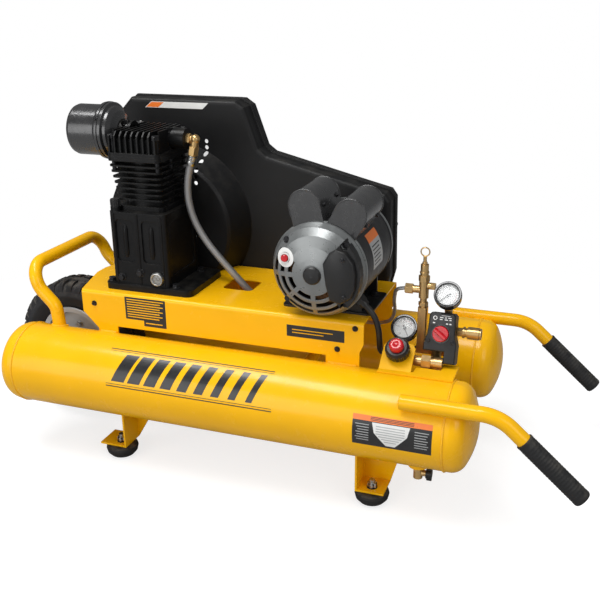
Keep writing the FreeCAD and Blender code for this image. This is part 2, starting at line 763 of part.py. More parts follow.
def piston():
    crown = turned([(0, piston_height), (0, piston_height - 7), (bore_r - 6, piston_height - 7), (bore_r - 6, 0),
                    (bore_r - running, 0), (bore_r - running, piston_height)],
                   (pump_x, pump_y, piston_top - piston_height))
    z = pin_height()
    bosses = fuse([rod(11, (pump_x, pump_y - 30, z), (pump_x, pump_y - 9, z)),
                   rod(11, (pump_x, pump_y + 9, z), (pump_x, pump_y + 30, z))])
    inside = rod(bore_r - running, (pump_x, pump_y, z - 30), (pump_x, pump_y, piston_top))
    return crown.fuse(bosses.common(inside)).cut(rod(7, (pump_x, -200, z), (pump_x, 200, z))).removeSplitter()


def pin_height():
    return crank_z + stroke / 2 + rod_length


def piston_rings():
    rings = []
    for n in range(3):
        z = piston_top - 5 - 6 * n
        rings.append((z, z + 2.2))
    return rings


def wrist_pin():
    z = pin_height()
    return pipe(7, 4, (pump_x, pump_y - 30, z), (pump_x, pump_y + 30, z))


def connecting_rod():
    """Small end on the wrist pin; the big end's bore stands clear of the crank pin."""
    top, low = pin_height(), crank_z + stroke / 2
    small = rod(12, (pump_x, pump_y - 8, top), (pump_x, pump_y + 8, top))
    big = rod(17, (pump_x, pump_y - 8, low), (pump_x, pump_y + 8, low))
    beam = box((pump_x - 7, pump_x + 7), (pump_y - 5, pump_y + 5), (low, top))
    body = fuse([small, big, beam])
    return body.cut(rod(7, (pump_x, -200, top), (pump_x, 200, top))) \
        .cut(rod(9.5, (pump_x, -200, low), (pump_x, 200, low)))


# ---- discharge line ---------------------------------------------------------------------------
elbow_x = pump_x + head_half[0] + discharge_reach + 16
hose_r = 6.8
hose_drop = 30.0
hose_route = [(elbow_x - 7, filter_y, discharge_z - hose_drop), (elbow_x - 18, -19, 545), (elbow_x - 25, -16, 500),
              (elbow_x - 19, -12, 455), (elbow_x + 1, -6, 412), (elbow_x + 31, 0, 372), (elbow_x + 62, 5, 337),
              (elbow_x + 88, 12, 304), (elbow_x + 110, 28, 278)]


def discharge_elbow():
    """Brass elbow with a hex at each end."""
    z = discharge_z
    corner = Vector(elbow_x, filter_y, z)
    end = vec(hose_route[0])
    down = (end - corner).normalize()
    start = (pump_x + head_half[0] + discharge_reach - 12, filter_y, z)
    parts = [rod(6.4, start, (elbow_x, filter_y, z)), Part.makeSphere(8.5, corner), rod(7.5, corner, end),
             hexagon(17.0, (elbow_x - 16, filter_y, z), (elbow_x - 9, filter_y, z)),
             hexagon(17.0, corner + down * 14, end - down * 1)]
    return fuse(parts).cut(discharge_hose())


def discharge_hose():
    return swept(hose_route, limp_radii(hose_route), hose_r)


def check_valve():
    """Brass check valve between the hose and its ring on the far tank."""
    near, far = port_run(1, 45, tank_r + bung_height, tank_r + bung_height + 24, check_x)
    hose_end = vec(hose_route[-1])
    arrive = (hose_end - vec(hose_route[-2])).normalize()
    seat = hose_end + arrive * 16
    parts = [hexagon(24.0, near, far), rod(5.9, vec(near) - (vec(far) - vec(near)) * 0.2, near),
             rod(8, far, seat), Part.makeSphere(8, seat), rod(8, seat, hose_end)]
    return fuse(parts)


# ---- belt and guard ---------------------------------------------------------------------------
def drive_belt():
    low, high = belt_y - belt_width / 2, belt_y + belt_width / 2
    first, second = (pump_x, crank_z), (motor_x, motor_z)
    outer = belt_loop(first, flywheel_belt_r + belt_depth, second, pulley_belt_r + belt_depth, low, high)
    return outer.cut(belt_loop(first, flywheel_belt_r, second, pulley_belt_r, low - 1, high + 1))


guard_outline = [(110, 256), (110, 585), (124, 628), (150, 655), (379, 655), (397, 643), (425, 565), (441, 553),
                 (622, 508), (680, 494), (690, 480), (692, 331), (684, 300), (610, 284), (430, 256)]


def shrunk(points, inset):
    """The outline moved inwards by inset; its points run clockwise, with X across and Z up."""
    lines = []
    for (x0, z0), (x1, z1) in zip(points, points[1:] + points[:1]):
        length = math.hypot(x1 - x0, z1 - z0)
        nx, nz = (z1 - z0) / length, -(x1 - x0) / length
        lines.append(((x0 + nx * inset, z0 + nz * inset), (x1 - x0, z1 - z0)))
    moved = []
    for ((px, pz), (pu, pw)), ((qx, qz), (qu, qw)) in zip(lines[-1:] + lines[:-1], lines):
        along = ((qx - px) * qw - (qz - pz) * qu) / (pu * qw - pw * qu)
        moved.append((px + pu * along, pz + pw * along))
    return moved


def guard_tray(low, high, open_low):
    """One pressed half of the guard: a face and a rim, open towards the other half."""
    solid = polygon(guard_outline, low, high, "y")
    face_y = high if open_low else low
    solid = round_edges_at_face(solid, 9.0, face_y)
    inner = polygon(shrunk(guard_outline, guard_wall), low - (1 if open_low else -guard_wall),
                    high + (1 if not open_low else -guard_wall), "y")
    inner = round_edges_at_face(inner, 6.0, face_y + (-guard_wall if open_low else guard_wall))
    return solid.cut(inner)


def round_edges_at_face(shape, radius, y):
    edges = [e for e in shape.Edges if all(abs(v.Y - y) < 0.01 for v in e.Vertexes)]
    return shape.makeFillet(radius, edges)


vent_r = 4.2
vent_x, vent_z, vent_pitch = 315.0, 503.0, 12.0


def guard_front():
    """The front half, with a round scoop that stands forward over the pump's shaft."""
    tray = guard_tray(guard_front_y, guard_split_y, False)
    axis = (scoop_x, scoop_front_y, scoop_z)
    depth = guard_front_y + 1 - scoop_front_y
    slope = (scoop_base_r - scoop_front_r) / depth
    outer = turned([(0, 0), (scoop_front_r - 6, 0), (scoop_front_r, 5), (scoop_base_r, depth), (0, depth)], axis, Y)
    back = depth + guard_wall + 1
    inner = turned([(0, guard_wall), (scoop_front_r - 7, guard_wall), (scoop_front_r - guard_wall, 7),
                    (scoop_base_r - guard_wall + slope * (back - depth), back), (0, back)], axis, Y)
    above = box((0, 800), (0, guard_front_y + 20), (saddle_top + seat_gap, 800))
    tray = tray.fuse(outer.common(above)).removeSplitter()
    tray = tray.cut(inner.common(box((0, 800), (0, 200), (saddle_top + seat_gap + guard_wall, 800))))
    tray = tray.cut(rod(housing_r + 8, (pump_x, 0, crank_z), (pump_x, 100, crank_z)))
    for n in range(7):
        z = vent_z + n * vent_pitch
        tray = tray.cut(rod(vent_r, (vent_x, 0, z), (vent_x, guard_front_y + 10, z)))
    tray = tray.cut(rod(motor_shaft_r + 7, (motor_x, 100, motor_z), (motor_x, 130, motor_z)))
    for x, z in saddle_screw_spots():
        tray = tray.cut(rod(screw_hole_r, (x, 100, z), (x, 130, z)))
    return tray


screw_hole_r = 3.3


def saddle_screw_spots():
    return [(360.0, 300.0), (600.0, 305.0)]


def guard_back():
    tray = guard_tray(guard_split_y + seat_gap, guard_back_y, True)
    for n in range(11):
        z = 300 + n * 24
        slot = round_edges(box((pump_x - 92, pump_x + 92), (170, 190), (z, z + 9)), 4.4, Y)
        tray = tray.cut(slot)
    for n in range(4):
        z = 372 + n * 24
        slot = round_edges(box((motor_x - 36, motor_x + 36), (170, 190), (z, z + 9)), 4.4, Y)
        tray = tray.cut(slot)
    return tray


def guard_screws():
    """Two screws through the guard's face into the saddle skirt."""
    screws = []
    for x, z in saddle_screw_spots():
        y = guard_front_y + guard_wall
        screws.append(fuse([rod(3.0, (x, saddle_half - 9, z), (x, y + 1, z)), hexagon(10.0, (x, y, z), (x, y + 5, z)),
                            hexagon(10.0, (x, saddle_half - saddle_plate - 5, z), (x, saddle_half - saddle_plate, z))]))
    return screws


# ---- motor ------------------------------------------------------------------------------------
bearing_seat_r = 17.5


def motor_shell():
    return pipe(motor_r, motor_r - motor_wall, (motor_x, motor_front, motor_z), (motor_x, motor_rear, motor_z))


def bell_profile():
    r = motor_r
    return [(r - 3, 0), (r, 0), (r, 8), (r - 6, 20), (r - 18, 30), (r - 36, 37), (28, 40.5), (18, bell_depth)]


def front_bell():
    """The domed, slotted end bell with its bearing seat."""
    outer = [(0, 0)] + bell_profile()[1:] + [(0, bell_depth)]
    inner = [(0, -1), (motor_r - 4, -1), (motor_r - 4, 7), (motor_r - 10, 18), (motor_r - 21, 27),
             (motor_r - 38, 33.5), (27, 36.5), (0, 36.5)]
    base = (motor_x, motor_front, motor_z)
    bell = turned(outer, base, -Y).cut(turned(inner, base, -Y))
    seat = pipe(bearing_seat_r + 4, bearing_seat_r, (motor_x, motor_front - 37, motor_z),
                (motor_x, motor_front - 20, motor_z))
    bell = bell.fuse(seat)
    for low, high in ((65.5, 72.5), (51.5, 59.5), (36.5, 45.0)):
        bell = bell.cut(vent_ring(low, high))
    bell = bell.fuse(pipe(9.5, 6.4, (button_x, motor_front - 36, button_z), (button_x, motor_front - 24, button_z))
                     .cut(turned(inner, base, -Y)))
    bell = bell.cut(rod(6.4, (button_x, motor_front - 60, button_z), (button_x, motor_front - 10, button_z)))
    for x, z in bell_bolt_spots():
        bell = bell.cut(rod(2.8, (x, motor_front - 60, z), (x, motor_front + 1, z)))
        bell = bell.cut(rod(6, (x, motor_front - 60, z), (x, motor_front - 17, z)))
    return bell.removeSplitter()


button_x, button_z = 577.0, 438.0


def vent_ring(low, high):
    """Arc slots through the bell, on its open side only, left between radial ribs."""
    ring = pipe(high, low, (motor_x, motor_front - bell_depth - 5, motor_z), (motor_x, motor_front - 9, motor_z))
    reach = 100
    keep = polygon([(0, 0), (reach, -reach * 0.9), (reach, -reach), (-reach, -reach), (-reach, reach * 0.62)],
                   -300, 300, "y")
    keep.translate(Vector(motor_x, 0, motor_z))
    ring = ring.common(keep)
    for angle in (185, 225, 270):
        rib = box((0, 90), (-400, 0), (-4, 4))
        rib.rotate(Vector(), Y, -angle)
        rib.translate(Vector(motor_x, 0, motor_z))
        ring = ring.cut(rib)
    return ring.cut(rod(13, (button_x, -300, button_z), (button_x, 0, button_z)))


def bell_bolt_spots():
    reach = bell_bolt_r / math.sqrt(2)
    return [(motor_x + sx * reach, motor_z + sz * reach) for sx in (-1, 1) for sz in (-1, 1)]


def rear_bell():
    profile = [(bearing_seat_r, 0), (motor_r - 4, 0), (motor_r, 0), (motor_r, 8), (motor_r - 10, 16),
               (34, 22), (motor_shaft_r + 2, 24), (motor_shaft_r + 2, 20), (bearing_seat_r, 20)]
    inner = [(bearing_seat_r + 4, -1), (motor_r - 5, -1), (motor_r - 5, 5), (motor_r - 13, 12),
             (bearing_seat_r + 4, 17)]
    base = (motor_x, motor_rear, motor_z)
    bell = turned(profile, base, Y).cut(turned(inner, base, Y))
    for x, z in bell_bolt_spots():
        bell = bell.cut(rod(2.8, (x, motor_rear - 1, z), (x, motor_rear + 40, z)))
        bell = bell.cut(rod(6, (x, motor_rear + 13, z), (x, motor_rear + 40, z)))
    return bell


def bell_bolts():
    bolts = []
    for x, z in bell_bolt_spots():
        front = motor_front - 17
        bolts.append(fuse([rod(2.5, (x, front - 1, z), (x, motor_rear + 13, z)),
                           hexagon(9.0, (x, front - 6, z), (x, front, z)),
                           hexagon(9.0, (x, motor_rear + 13, z), (x, motor_rear + 18, z))]))
    return bolts


def hub_cap():
    return turned([(0, 0), (15.5, 0), (15.5, 2), (13, 5), (0, 6)], (motor_x, motor_front - bell_depth, motor_z), -Y)


def motor_bearings():
    rings = []
    for y0, y1 in ((motor_front - 32, motor_front - 21), (motor_rear + 2, motor_rear + 14)):
        rings.append(pipe(bearing_seat_r, motor_shaft_r + running, (motor_x, y0, motor_z), (motor_x, y1, motor_z)))
    return rings


def stator():
    core = pipe(motor_r - motor_wall, 50, (motor_x, -58, motor_z), (motor_x, 24, motor_z))
    coils = [pipe(70, 54, (motor_x, -76, motor_z), (motor_x, -58, motor_z)),
             pipe(70, 54, (motor_x, 24, motor_z), (motor_x, 40, motor_z))]
    body = fuse([core] + coils)
    for x, z in bell_bolt_spots():
        body = body.cut(rod(3.5, (x, -200, z), (x, 200, z)))
    return body


def rotor():
    """The rotor core on its shaft."""
    return fuse([rod(49.6, (motor_x, -58, motor_z), (motor_x, 24, motor_z)),
                 rod(motor_shaft_r, (motor_x, motor_front - 32, motor_z), (motor_x, belt_y + 18, motor_z))])


def motor_fan():
    hub = pipe(16, motor_shaft_r, (motor_x, -98, motor_z), (motor_x, -84, motor_z))
    plate = pipe(44, 15, (motor_x, -86, motor_z), (motor_x, -84, motor_z))
    parts = [hub, plate]
    for n in range(9):
        blade = box((14, 44), (-98, -85), (-1, 1))
        blade.rotate(Vector(), Y, 40 * n)
        blade.translate(Vector(motor_x, 0, motor_z))
        parts.append(blade)
    return fuse(parts)


def motor_pulley():
    floor, outer = pulley_belt_r - belt_gap, pulley_belt_r + belt_depth + 2
    groove = belt_width / 2 + belt_gap
    section = [(motor_shaft_r, -14), (18, -14), (18, -groove - 3), (outer, -groove - 3), (outer, -groove),
               (floor, -groove), (floor, groove), (outer, groove), (outer, groove + 3), (motor_shaft_r, groove + 3)]
    return turned(section, (motor_x, belt_y, motor_z), Y)


def reset_button():
    y = motor_front - 36
    return turned([(0, -12.5), (8, -12.5), (8, -11), (6, -11), (6, 3), (5.2, 4), (0, 4)], (button_x, y, button_z), -Y)


def terminal_cover():
    """The crescent cover over the motor's terminals, on the right of the front bell."""
    points = [(radius, angle) for radius, angle in ((34, -50), (34, -20), (30, 10), (34, 52))]
    inner = [(motor_x + r * math.cos(math.radians(a)), motor_z + r * math.sin(math.radians(a))) for r, a in points]
    outer = [(motor_x + 80 * math.cos(math.radians(a)), motor_z + 80 * math.sin(math.radians(a)))
             for a in range(50, -55, -10)]
    front = motor_front - bell_depth + 8
    plate = polygon(inner + outer, front, motor_front - 8, "y")
    filled = [(0, 0)] + bell_profile()[1:] + [(0, bell_depth)]
    plate = plate.cut(turned(filled, (motor_x, motor_front, motor_z), -Y))
    for x, z in bell_bolt_spots():
        plate = plate.cut(rod(6.5, (x, motor_front - 60, z), (x, motor_front, z)))
    return max(plate.Solids, key=lambda solid: solid.Volume)


cap_r = 27.5
cap_front, cap_rear = -112.0, -5.0
cap_angles = (104.0, 61.0)
cap_reach = 110.0


def capacitor_spot(angle):
    reach = math.radians(angle)
    return motor_x + cap_reach * math.cos(reach), motor_z + cap_reach * math.sin(reach)


def capacitor_cover(angle):
    """A closed half-round cover that sits on the motor shell."""
    x, z = capacitor_spot(angle)
    outer = rod(cap_r, (x, cap_front, z), (x, cap_rear, z))
    skirt = box((-cap_r, cap_r), (cap_front, cap_rear), (-cap_r - 10, 0))
    skirt.rotate(Vector(), Y, 90 - angle)
    skirt.translate(Vector(x, 0, z))
    outer = outer.fuse(skirt).removeSplitter()
    shell = rod(motor_r + 0.1, (motor_x, -300, motor_z), (motor_x, 300, motor_z))
    inner = rod(cap_r - 2.5, (x, cap_front + 2.5, z), (x, cap_rear - 2.5, z))
    hollow = box((2.5 - cap_r, cap_r - 2.5), (cap_front + 2.5, cap_rear - 2.5), (-cap_r - 10, 0))
    hollow.rotate(Vector(), Y, 90 - angle)
    hollow.translate(Vector(x, 0, z))
    return outer.cut(shell).cut(inner.fuse(hollow))


can_r = 24.6


def capacitors():
    cans = []
    for angle in cap_angles:
        x, z = capacitor_spot(angle)
        cans.append(rod(can_r, (x, cap_front + 8, z), (x, cap_rear - 8, z)))
    return cans


def motor_base():
    """The bent cradle that carries the motor shell."""
    plate = round_edges(box((motor_x - 82, motor_x + 82), (-78, 38), (saddle_top, saddle_top + 3.5)), 8, Z)
    parts = [plate]
    for y in (-72, 28):
        parts.append(box((motor_x - 64, motor_x + 64), (y, y + 4), (saddle_top, motor_z - 52)))
    body = fuse(parts).cut(rod(motor_r, (motor_x, -200, motor_z), (motor_x, 200, motor_z)))
    for x, y in motor_bolt_spots():
        body = body.cut(rod(base_bolt_r + 0.6, (x, y, 300), (x, y, 340)))
    return body


def pump_bolts():
    return [base_bolt(x, y, saddle_top - saddle_plate, case_base) for x, y in pump_bolt_spots()]


def motor_bolts():
    return [base_bolt(x, y, saddle_top - saddle_plate, saddle_top + 3.5) for x, y in motor_bolt_spots()]


# ---- controls ---------------------------------------------------------------------------------
panel = (panel_x, panel_y, panel_z)
switch = (switch_x, switch_y, switch_z)
bonnet_r = 7.0
knob_r = 20.0
regulator_r = 18.0


def control_bracket():
    """A shelf along the near tank with the regulator's leaning tab bent up from it."""
    tab = polygon([(-28, -42), (27, -42), (27, 12), (21, 20), (-22, 20), (-28, 12)], 0, panel_plate, "y")
    tab = leaned(tab, panel, panel_tilt)
    shelf_high = shelf_z + panel_plate - 0.5
    strip = box((panel_x - 28, switch_x + 34), (-139, -126), (shelf_z, shelf_high))
    shelf = fuse([box((panel_x + 31, switch_x + 34), (-139, -105), (shelf_z, shelf_high)),
                  box((switch_x + port_block_x, switch_x + 34), (-139, -80), (shelf_z, shelf_high))])
    bracket = fuse([tab, strip, shelf]).cut(tank_round(-1, 0.05))
    bracket = bracket.cut(box((700, 900), (-160, -124), (200, shelf_z)))
    return bracket.cut(leaned(rod(bonnet_r + 0.3, (0, -20, 0), (0, 20, 0)), panel, panel_tilt))


def regulator_body():
    """The body behind the tab, its bonnet through the tab, and a port each side."""
    body = fuse([rod(regulator_r, (0, panel_plate, 0), (0, 36, 0)), rod(bonnet_r, (0, -12, 0), (0, 10, 0)),
                 rod(9, (-26, 20, 0), (29, 20, 0)), rod(7, (0, 20, 0), (0, 20, 26))])
    return leaned(body, panel, panel_tilt)


def regulator_knob():
    """A ribbed knob with its own lock cap, two pieces that turn together."""
    bore = bonnet_r + running
    knob = turned([(bore, 2), (knob_r - 3, 2), (knob_r, 5), (knob_r, 20), (knob_r - 3, 24), (0, 24), (0, 13), (bore, 13)],
                  (0, 0, 0), -Y)
    ribs = []
    for n in range(18):
        angle = math.pi * n / 9
        x, z = knob_r * math.cos(angle), knob_r * math.sin(angle)
        ribs.append(rod(1.3, (x, -7, z), (x, -19, z)))
    knob = fuse([knob] + ribs)
    cap = turned([(0, 24), (12, 24), (12, 31), (9.5, 34), (0, 34)], (0, 0, 0), -Y)
    return [leaned(knob, panel, panel_tilt), leaned(cap, panel, panel_tilt)]


def regulator_nipple():
    """Hex adapter from the regulator's right port to the switch's base."""
    start = leaned_point((29, 20, 0), panel, panel_tilt)
    end = Vector(switch_x + port_block_x - seat_gap, start.y, start.z)
    return fuse([rod(9, start, end), hexagon(21.0, start + X * 9, start + X * 25),
                 rod(10.5, start + X * 30, end)])


gauge_depth = 16.0


def gauge_case(centre):
    r, back = gauge_r, gauge_depth
    profile = [(0, 0), (r - 3, 0), (r - 0.6, 2), (r - 0.6, back - 4), (r, back - 3), (r, back + 3), (r - 2.2, back + 3),
               (r - 2.2, back - 5), (1.2, back - 5), (1.2, 4), (0, 4)]
    return leaned(turned(profile, (0, back, 0), -Y), centre, gauge_tilt)


def gauge_needle(centre, turned_to):
    """A needle on its pin; turned_to is its angle at rest, anticlockwise from the right."""
    pin = rod(1.15, (0, 5, 0), (0, 2.4, 0))
    hub = rod(2.6, (0, 4.2, 0), (0, 2.4, 0))
    blade = polygon([(-6, -1.3), (17, -0.3), (17, 0.3), (-6, 1.3)], 2.8, 3.6, "y")
    blade.rotate(Vector(), Y, -turned_to)
    return leaned(fuse([pin, hub, blade]), centre, gauge_tilt)


def gauge_lens(centre):
    r = gauge_r - 2.25
    return leaned(turned([(0, 0), (r, 0), (r, 1.2), (r - 5, 2.0), (0, 2.4)], (0, 0, 0), -Y), centre, gauge_tilt)


def gauge_stem(centre, foot):
    """A short stem with a hex, from the gauge's back or edge down to its port."""
    top = vec(centre)
    foot = vec(foot)
    run = (foot - top).normalize()
    return fuse([rod(4.6, top, foot), hexagon(12.0, foot - run * 9, foot)])


def gauge_stems():
    regulator_port = leaned_point((0, 20, 26), panel, panel_tilt)
    first_back = leaned_point((0, gauge_depth - 6, -gauge_r + 4), near_gauge, gauge_tilt)
    stems = [gauge_stem(first_back, regulator_port)]
    second_back = leaned_point((0, gauge_depth - 3, 0), tank_gauge, gauge_tilt)
    port = leaned_point((tank_gauge[0] - switch_x, cover_depth + base_depth / 2, switch_height), switch, switch_tilt)
    stems.append(gauge_stem(second_back, port))
    cases = [gauge_case(near_gauge), gauge_case(tank_gauge)]
    ports = [regulator_body(), switch_cover().fuse(switch_base())]
    trimmed = [stem.cut(case).cut(port) for stem, case, port in zip(stems, cases, ports)]
    return [max(stem.Solids, key=lambda solid: solid.Volume) for stem in trimmed]


port_block_x = 8.0


def switch_outline(inset):
    """The switch's front outline; its port block stands lower at the right."""
    low, high = switch_half[0] - inset, switch_half[1] - inset
    top = switch_height - inset
    port = port_block_x + inset
    return [(-low, 20 + inset), (-low, 32), (-high - 1, 48), (-high, top - 4), (-high + 4, top), (high - 4, top),
            (high, top - 4), (high + 1, 48), (low, 32), (low, inset), (port, inset), (port, 20 + inset)]


def switch_cover():
    shell = polygon(switch_outline(0), 0, cover_depth, "y")
    shell = round_edges_at_face(shell, 2.5, 0)
    shell = shell.cut(polygon(switch_outline(2.5), 2.5, cover_depth + 1, "y"))
    shell = shell.cut(rod(4 + running, (0, -5, knob_height), (0, 10, knob_height)))
    return leaned(shell, switch, switch_tilt).cut(box((700, 900), (-200, 0), (200, shelf_top())))


def shelf_top():
    return shelf_z + panel_plate - 0.5 + seat_gap


knob_height = 50.0


def switch_base():
    """The switch's base plate with its contact block; it stands on the shelf."""
    plate = polygon(switch_outline(0), cover_depth, cover_depth + base_depth, "y")
    block = box((-18, 18), (8, cover_depth + 1), (24, 42))
    body = fuse([plate, block])
    return leaned(body, switch, switch_tilt).cut(box((700, 900), (-200, 0), (200, shelf_top())))


def switch_knob():
    disc = turned([(0, -6), (4, -6), (4, 0.6), (13.5, 0.6), (13.5, 5), (12.5, 6), (0, 6)], (0, 0, knob_height), -Y)
    ridge = box((-12.2, 12.2), (-13, -5), (-3.2, 3.2))
    ridge = round_edges(ridge, 2.0, X, lambda c: c.y < -12)
    ridge.rotate(Vector(), Y, 35)
    ridge.translate(Vector(0, 0, knob_height))
    return leaned(fuse([disc, ridge]), switch, switch_tilt)


def manifold():
    """The block behind the controls, joined to the near tank's outlet ring."""
    low_z = tank_top + 6.8
    half = manifold_half
    sides = (manifold_y - half, manifold_y + half)
    column = round_edges(box((manifold_x - half, manifold_x + half), sides, (low_z, manifold_top)), 3, Z)
    bar = box((manifold_x - half, switch_x + 14), sides, (low_z, low_z + 20))
    start, end = port_run(-1, 45, tank_r + bung_height, 136, outlet_x)
    plug = port_run(-1, 45, tank_r - 1, tank_r + bung_height, outlet_x)
    return fuse([column, bar, rod(9, start, end), rod(port_r - 0.1, *plug)])


stack_z = manifold_top + 31


def safety_valve():
    """The stack on the manifold: nipple, cross with its side nut and plug, and the valve body."""
    x, y, z = manifold_x, manifold_y, manifold_top
    parts = [rod(6, (x, y, z), (x, y, z + 19)), hexagon(15, (x, y, z + 3), (x, y, z + 9)),
             rod(8.5, (x, y, z + 17), (x, y, z + 47)), rod(6.5, (x - 19, y, stack_z), (x, y, stack_z)),
             hexagon(16, (x - 32, y, stack_z), (x - 19, y, stack_z)),
             rod(6, (x, y, stack_z + 8), (x + 13, y, stack_z + 8)),
             hexagon(11, (x + 13, y, stack_z + 8), (x + 20, y, stack_z + 8)),
             hexagon(17, (x, y, z + 47), (x, y, z + 57)), rod(7, (x, y, z + 57), (x, y, z + 77)),
             rod(8, (x, y, z + 61), (x, y, z + 64))]
    return fuse(parts).cut(rod(3 + running, (x, y, z + 59), (x, y, z + 89)))


def safety_pin():
    x, y, z = manifold_x, manifold_y, manifold_top
    pull = Part.makeTorus(7.5, 1.1, Vector(x, y, z + 99), Y)
    return fuse([rod(3, (x, y, z + 61), (x, y, z + 91)), rod(4.5, (x, y, z + 77 + seat_gap), (x, y, z + 81)), pull])


unloader_r = 3.2
unloader_route = [(manifold_x - 32, manifold_y, stack_z), (manifold_x - 49, -43, stack_z - 4),
                  (manifold_x - 55, -32, stack_z - 28), (manifold_x - 56, -16, stack_z - 56),
                  (728, -6, 292), (700, 2, 280), (655, 12, 277), (605, 24, 281), (560, 40, 284), (528, 58, 282),
                  (504, 70, 268)]


def unloader_tube():
    return swept(unloader_route, limp_radii(unloader_route), unloader_r)


def outlet_line():
    """A point on the quick coupler's axis, at the switch base's right side."""
    return leaned_point((switch_half[1] + 1.6, cover_depth + base_depth / 2, knob_height + 6), switch, switch_tilt)


coupler_bore_r = 5.6
coupler_length = 40.0


def coupler_body():
    start = outlet_line()
    end = start + X * coupler_length
    body = fuse([hexagon(14, start, start + X * 9), rod(9.8, start + X * 9, start + X * 12),
                 rod(8, start + X * 9, end), rod(9.3, end - X * 3, end)])
    return body.cut(rod(coupler_bore_r, end - X * 20, end + X))


def coupler_sleeve():
    start = outlet_line() + X * 17
    return pipe(10.6, 8 + running, start, start + X * 19.5)


def drain_valve(side):
    x, y, top = drain_x, side * tank_y, tank_z - tank_r - bung_height
    parts = [rod(port_r - 0.1, (x, y, top), (x, y, top + 8)), hexagon(18, (x, y, top - 7), (x, y, top)),
             rod(8, (x, y, top - 24), (x, y, top)), rod(5.5, (x, y, top - 14), (x + 14, y, top - 14))]
    return fuse(parts).cut(rod(2.6 + running, (x + 2, y, top - 14), (x + 20, y, top - 14)))


def drain_knob(side):
    x, y, z = drain_x, side * tank_y, tank_z - tank_r - bung_height - 14
    knob = rod(8.5, (x + 14 + seat_gap, y, z), (x + 24, y, z))
    wings = box((x + 15, x + 24), (y - 2.5, y + 2.5), (z - 12, z + 12))
    return fuse([rod(2.6, (x + 4, y, z), (x + 16, y, z)), knob, wings])


lead_r = 5.2
lead_route = [(703, -92, 350), (719, -92, 333), (727, -91, 308), (728, -87, 283), (726, -74, 260), (735, -52, 247),
              (758, -33, 244), (switch_x - 44, -24, shelf_z + 5.6),
              (switch_x - 18, -18, shelf_z + 25.6), (switch_x, -26, shelf_z + 42.6),
              (switch_x + 2, -50.3, shelf_z + 47.6)]


def motor_lead():
    """The lead between the motor's terminals and the pressure switch."""
    return swept(lead_route, limp_radii(lead_route), lead_r)


def lead_gland():
    """The gland on the motor shell."""
    end = vec(lead_route[0])
    away = (vec(lead_route[1]) - end).normalize()
    start = end - away * 18
    collar = fuse([rod(8, start, end), hexagon(19, start, end - away * 7)])
    return collar.cut(rod(motor_r, (motor_x, -300, motor_z), (motor_x, 300, motor_z)))


def piston_set():
    z = piston_top
    rings = [pipe(bore_r - running, bore_r - 3, (pump_x, pump_y, low), (pump_x, pump_y, high))
             for low, high in piston_rings()]
    crown = piston()
    for ring in rings:
        crown = crown.cut(ring)
    return [crown, wrist_pin()] + rings


def hex_bolts():
    return pump_bolts() + motor_bolts() + head_bolts() + bell_bolts() + foot_bolts() + guard_screws()


SUBPARTS = {
    "tanks": lambda: [tank(-1), tank(1)],
    "tank_fittings": lambda: tank_bungs() + axle_bosses() + [crossover_pipe()],
    "saddle": saddle,
    "lift_handle": lift_handle,
    "carry_handles": lambda: [handle(-1), handle(1)],
    "grips": lambda: [grip(-1), grip(1)],
    "foot_brackets": foot_brackets,
    "rubber_feet": rubber_feet,
    "hex_bolts": hex_bolts,
    "tyre": tyre,
    "rim": rim,
    "axle": axle,
    "crankcase": crankcase,
    "bearing_cover": bearing_cover,
    "ball_bearings": lambda: crank_bearings() + motor_bearings(),
    "sight_glass": lambda: [sight_glass(), sight_ring()],
    "oil_plug": oil_plug,
    "cylinder": cylinder,
    "valve_plate": valve_plate,
    "cylinder_head": cylinder_head,
    "filter_cover": filter_cover,
    "filter_base": filter_base,
    "filter_element": filter_element,
    "crankshaft": crankshaft,
    "flywheel": flywheel,
    "piston": piston_set,
    "connecting_rod": connecting_rod,
    "discharge_hose": discharge_hose,
    "drive_belt": drive_belt,
    "guard_front": guard_front,
    "guard_back": guard_back,
    "motor_shell": motor_shell,
    "front_bell": front_bell,
    "rear_bell": rear_bell,
    "stator_and_capacitors": lambda: [stator()] + capacitors(),
    "rotor": lambda: [rotor(), motor_fan()],
    "motor_pulley": motor_pulley,
    "reset_button": reset_button,
    "terminal_cover": lambda: [terminal_cover(), lead_gland(), hub_cap()],
    "capacitor_covers": lambda: [capacitor_cover(angle) for angle in cap_angles],
    "motor_base": motor_base,
    "control_bracket": control_bracket,
    "regulator_body": regulator_body,
    "regulator_knob": regulator_knob,
    "manifold": manifold,
    "brass_fittings": lambda: [discharge_elbow(), check_valve(), regulator_nipple(), coupler_body(),
                               drain_valve(-1), drain_valve(1)] + gauge_stems(),
    "safety_valve": safety_valve,
    "safety_pin": safety_pin,
    "unloader_tube": unloader_tube,
    "gauge_cases": lambda: [gauge_case(near_gauge), gauge_case(tank_gauge)],
    "outlet_needle": lambda: gauge_needle(near_gauge, 300),
    "tank_needle": lambda: gauge_needle(tank_gauge, 222),
    "gauge_lenses": lambda: [gauge_lens(near_gauge), gauge_lens(tank_gauge)],
    "switch_base": switch_base,
    "switch_cover": switch_cover,
    "switch_knob": switch_knob,
    "coupler_sleeve": coupler_sleeve,
    "drain_knob_near": lambda: drain_knob(-1),
    "drain_knob_far": lambda: drain_knob(1),
    "motor_lead": motor_lead,
}


def whole_middle():
    """Halfway between the tyre's front and the ends of the grips."""
    corner, tip = (vec(p) for p in handle_line(1)[1:])
    along = (tip - corner).normalize()
    grip_end = tip.x + along.x * grip_cap + grip_r * math.sqrt(1 - along.x ** 2)
    return (wheel_x - wheel_r + grip_end) / 2


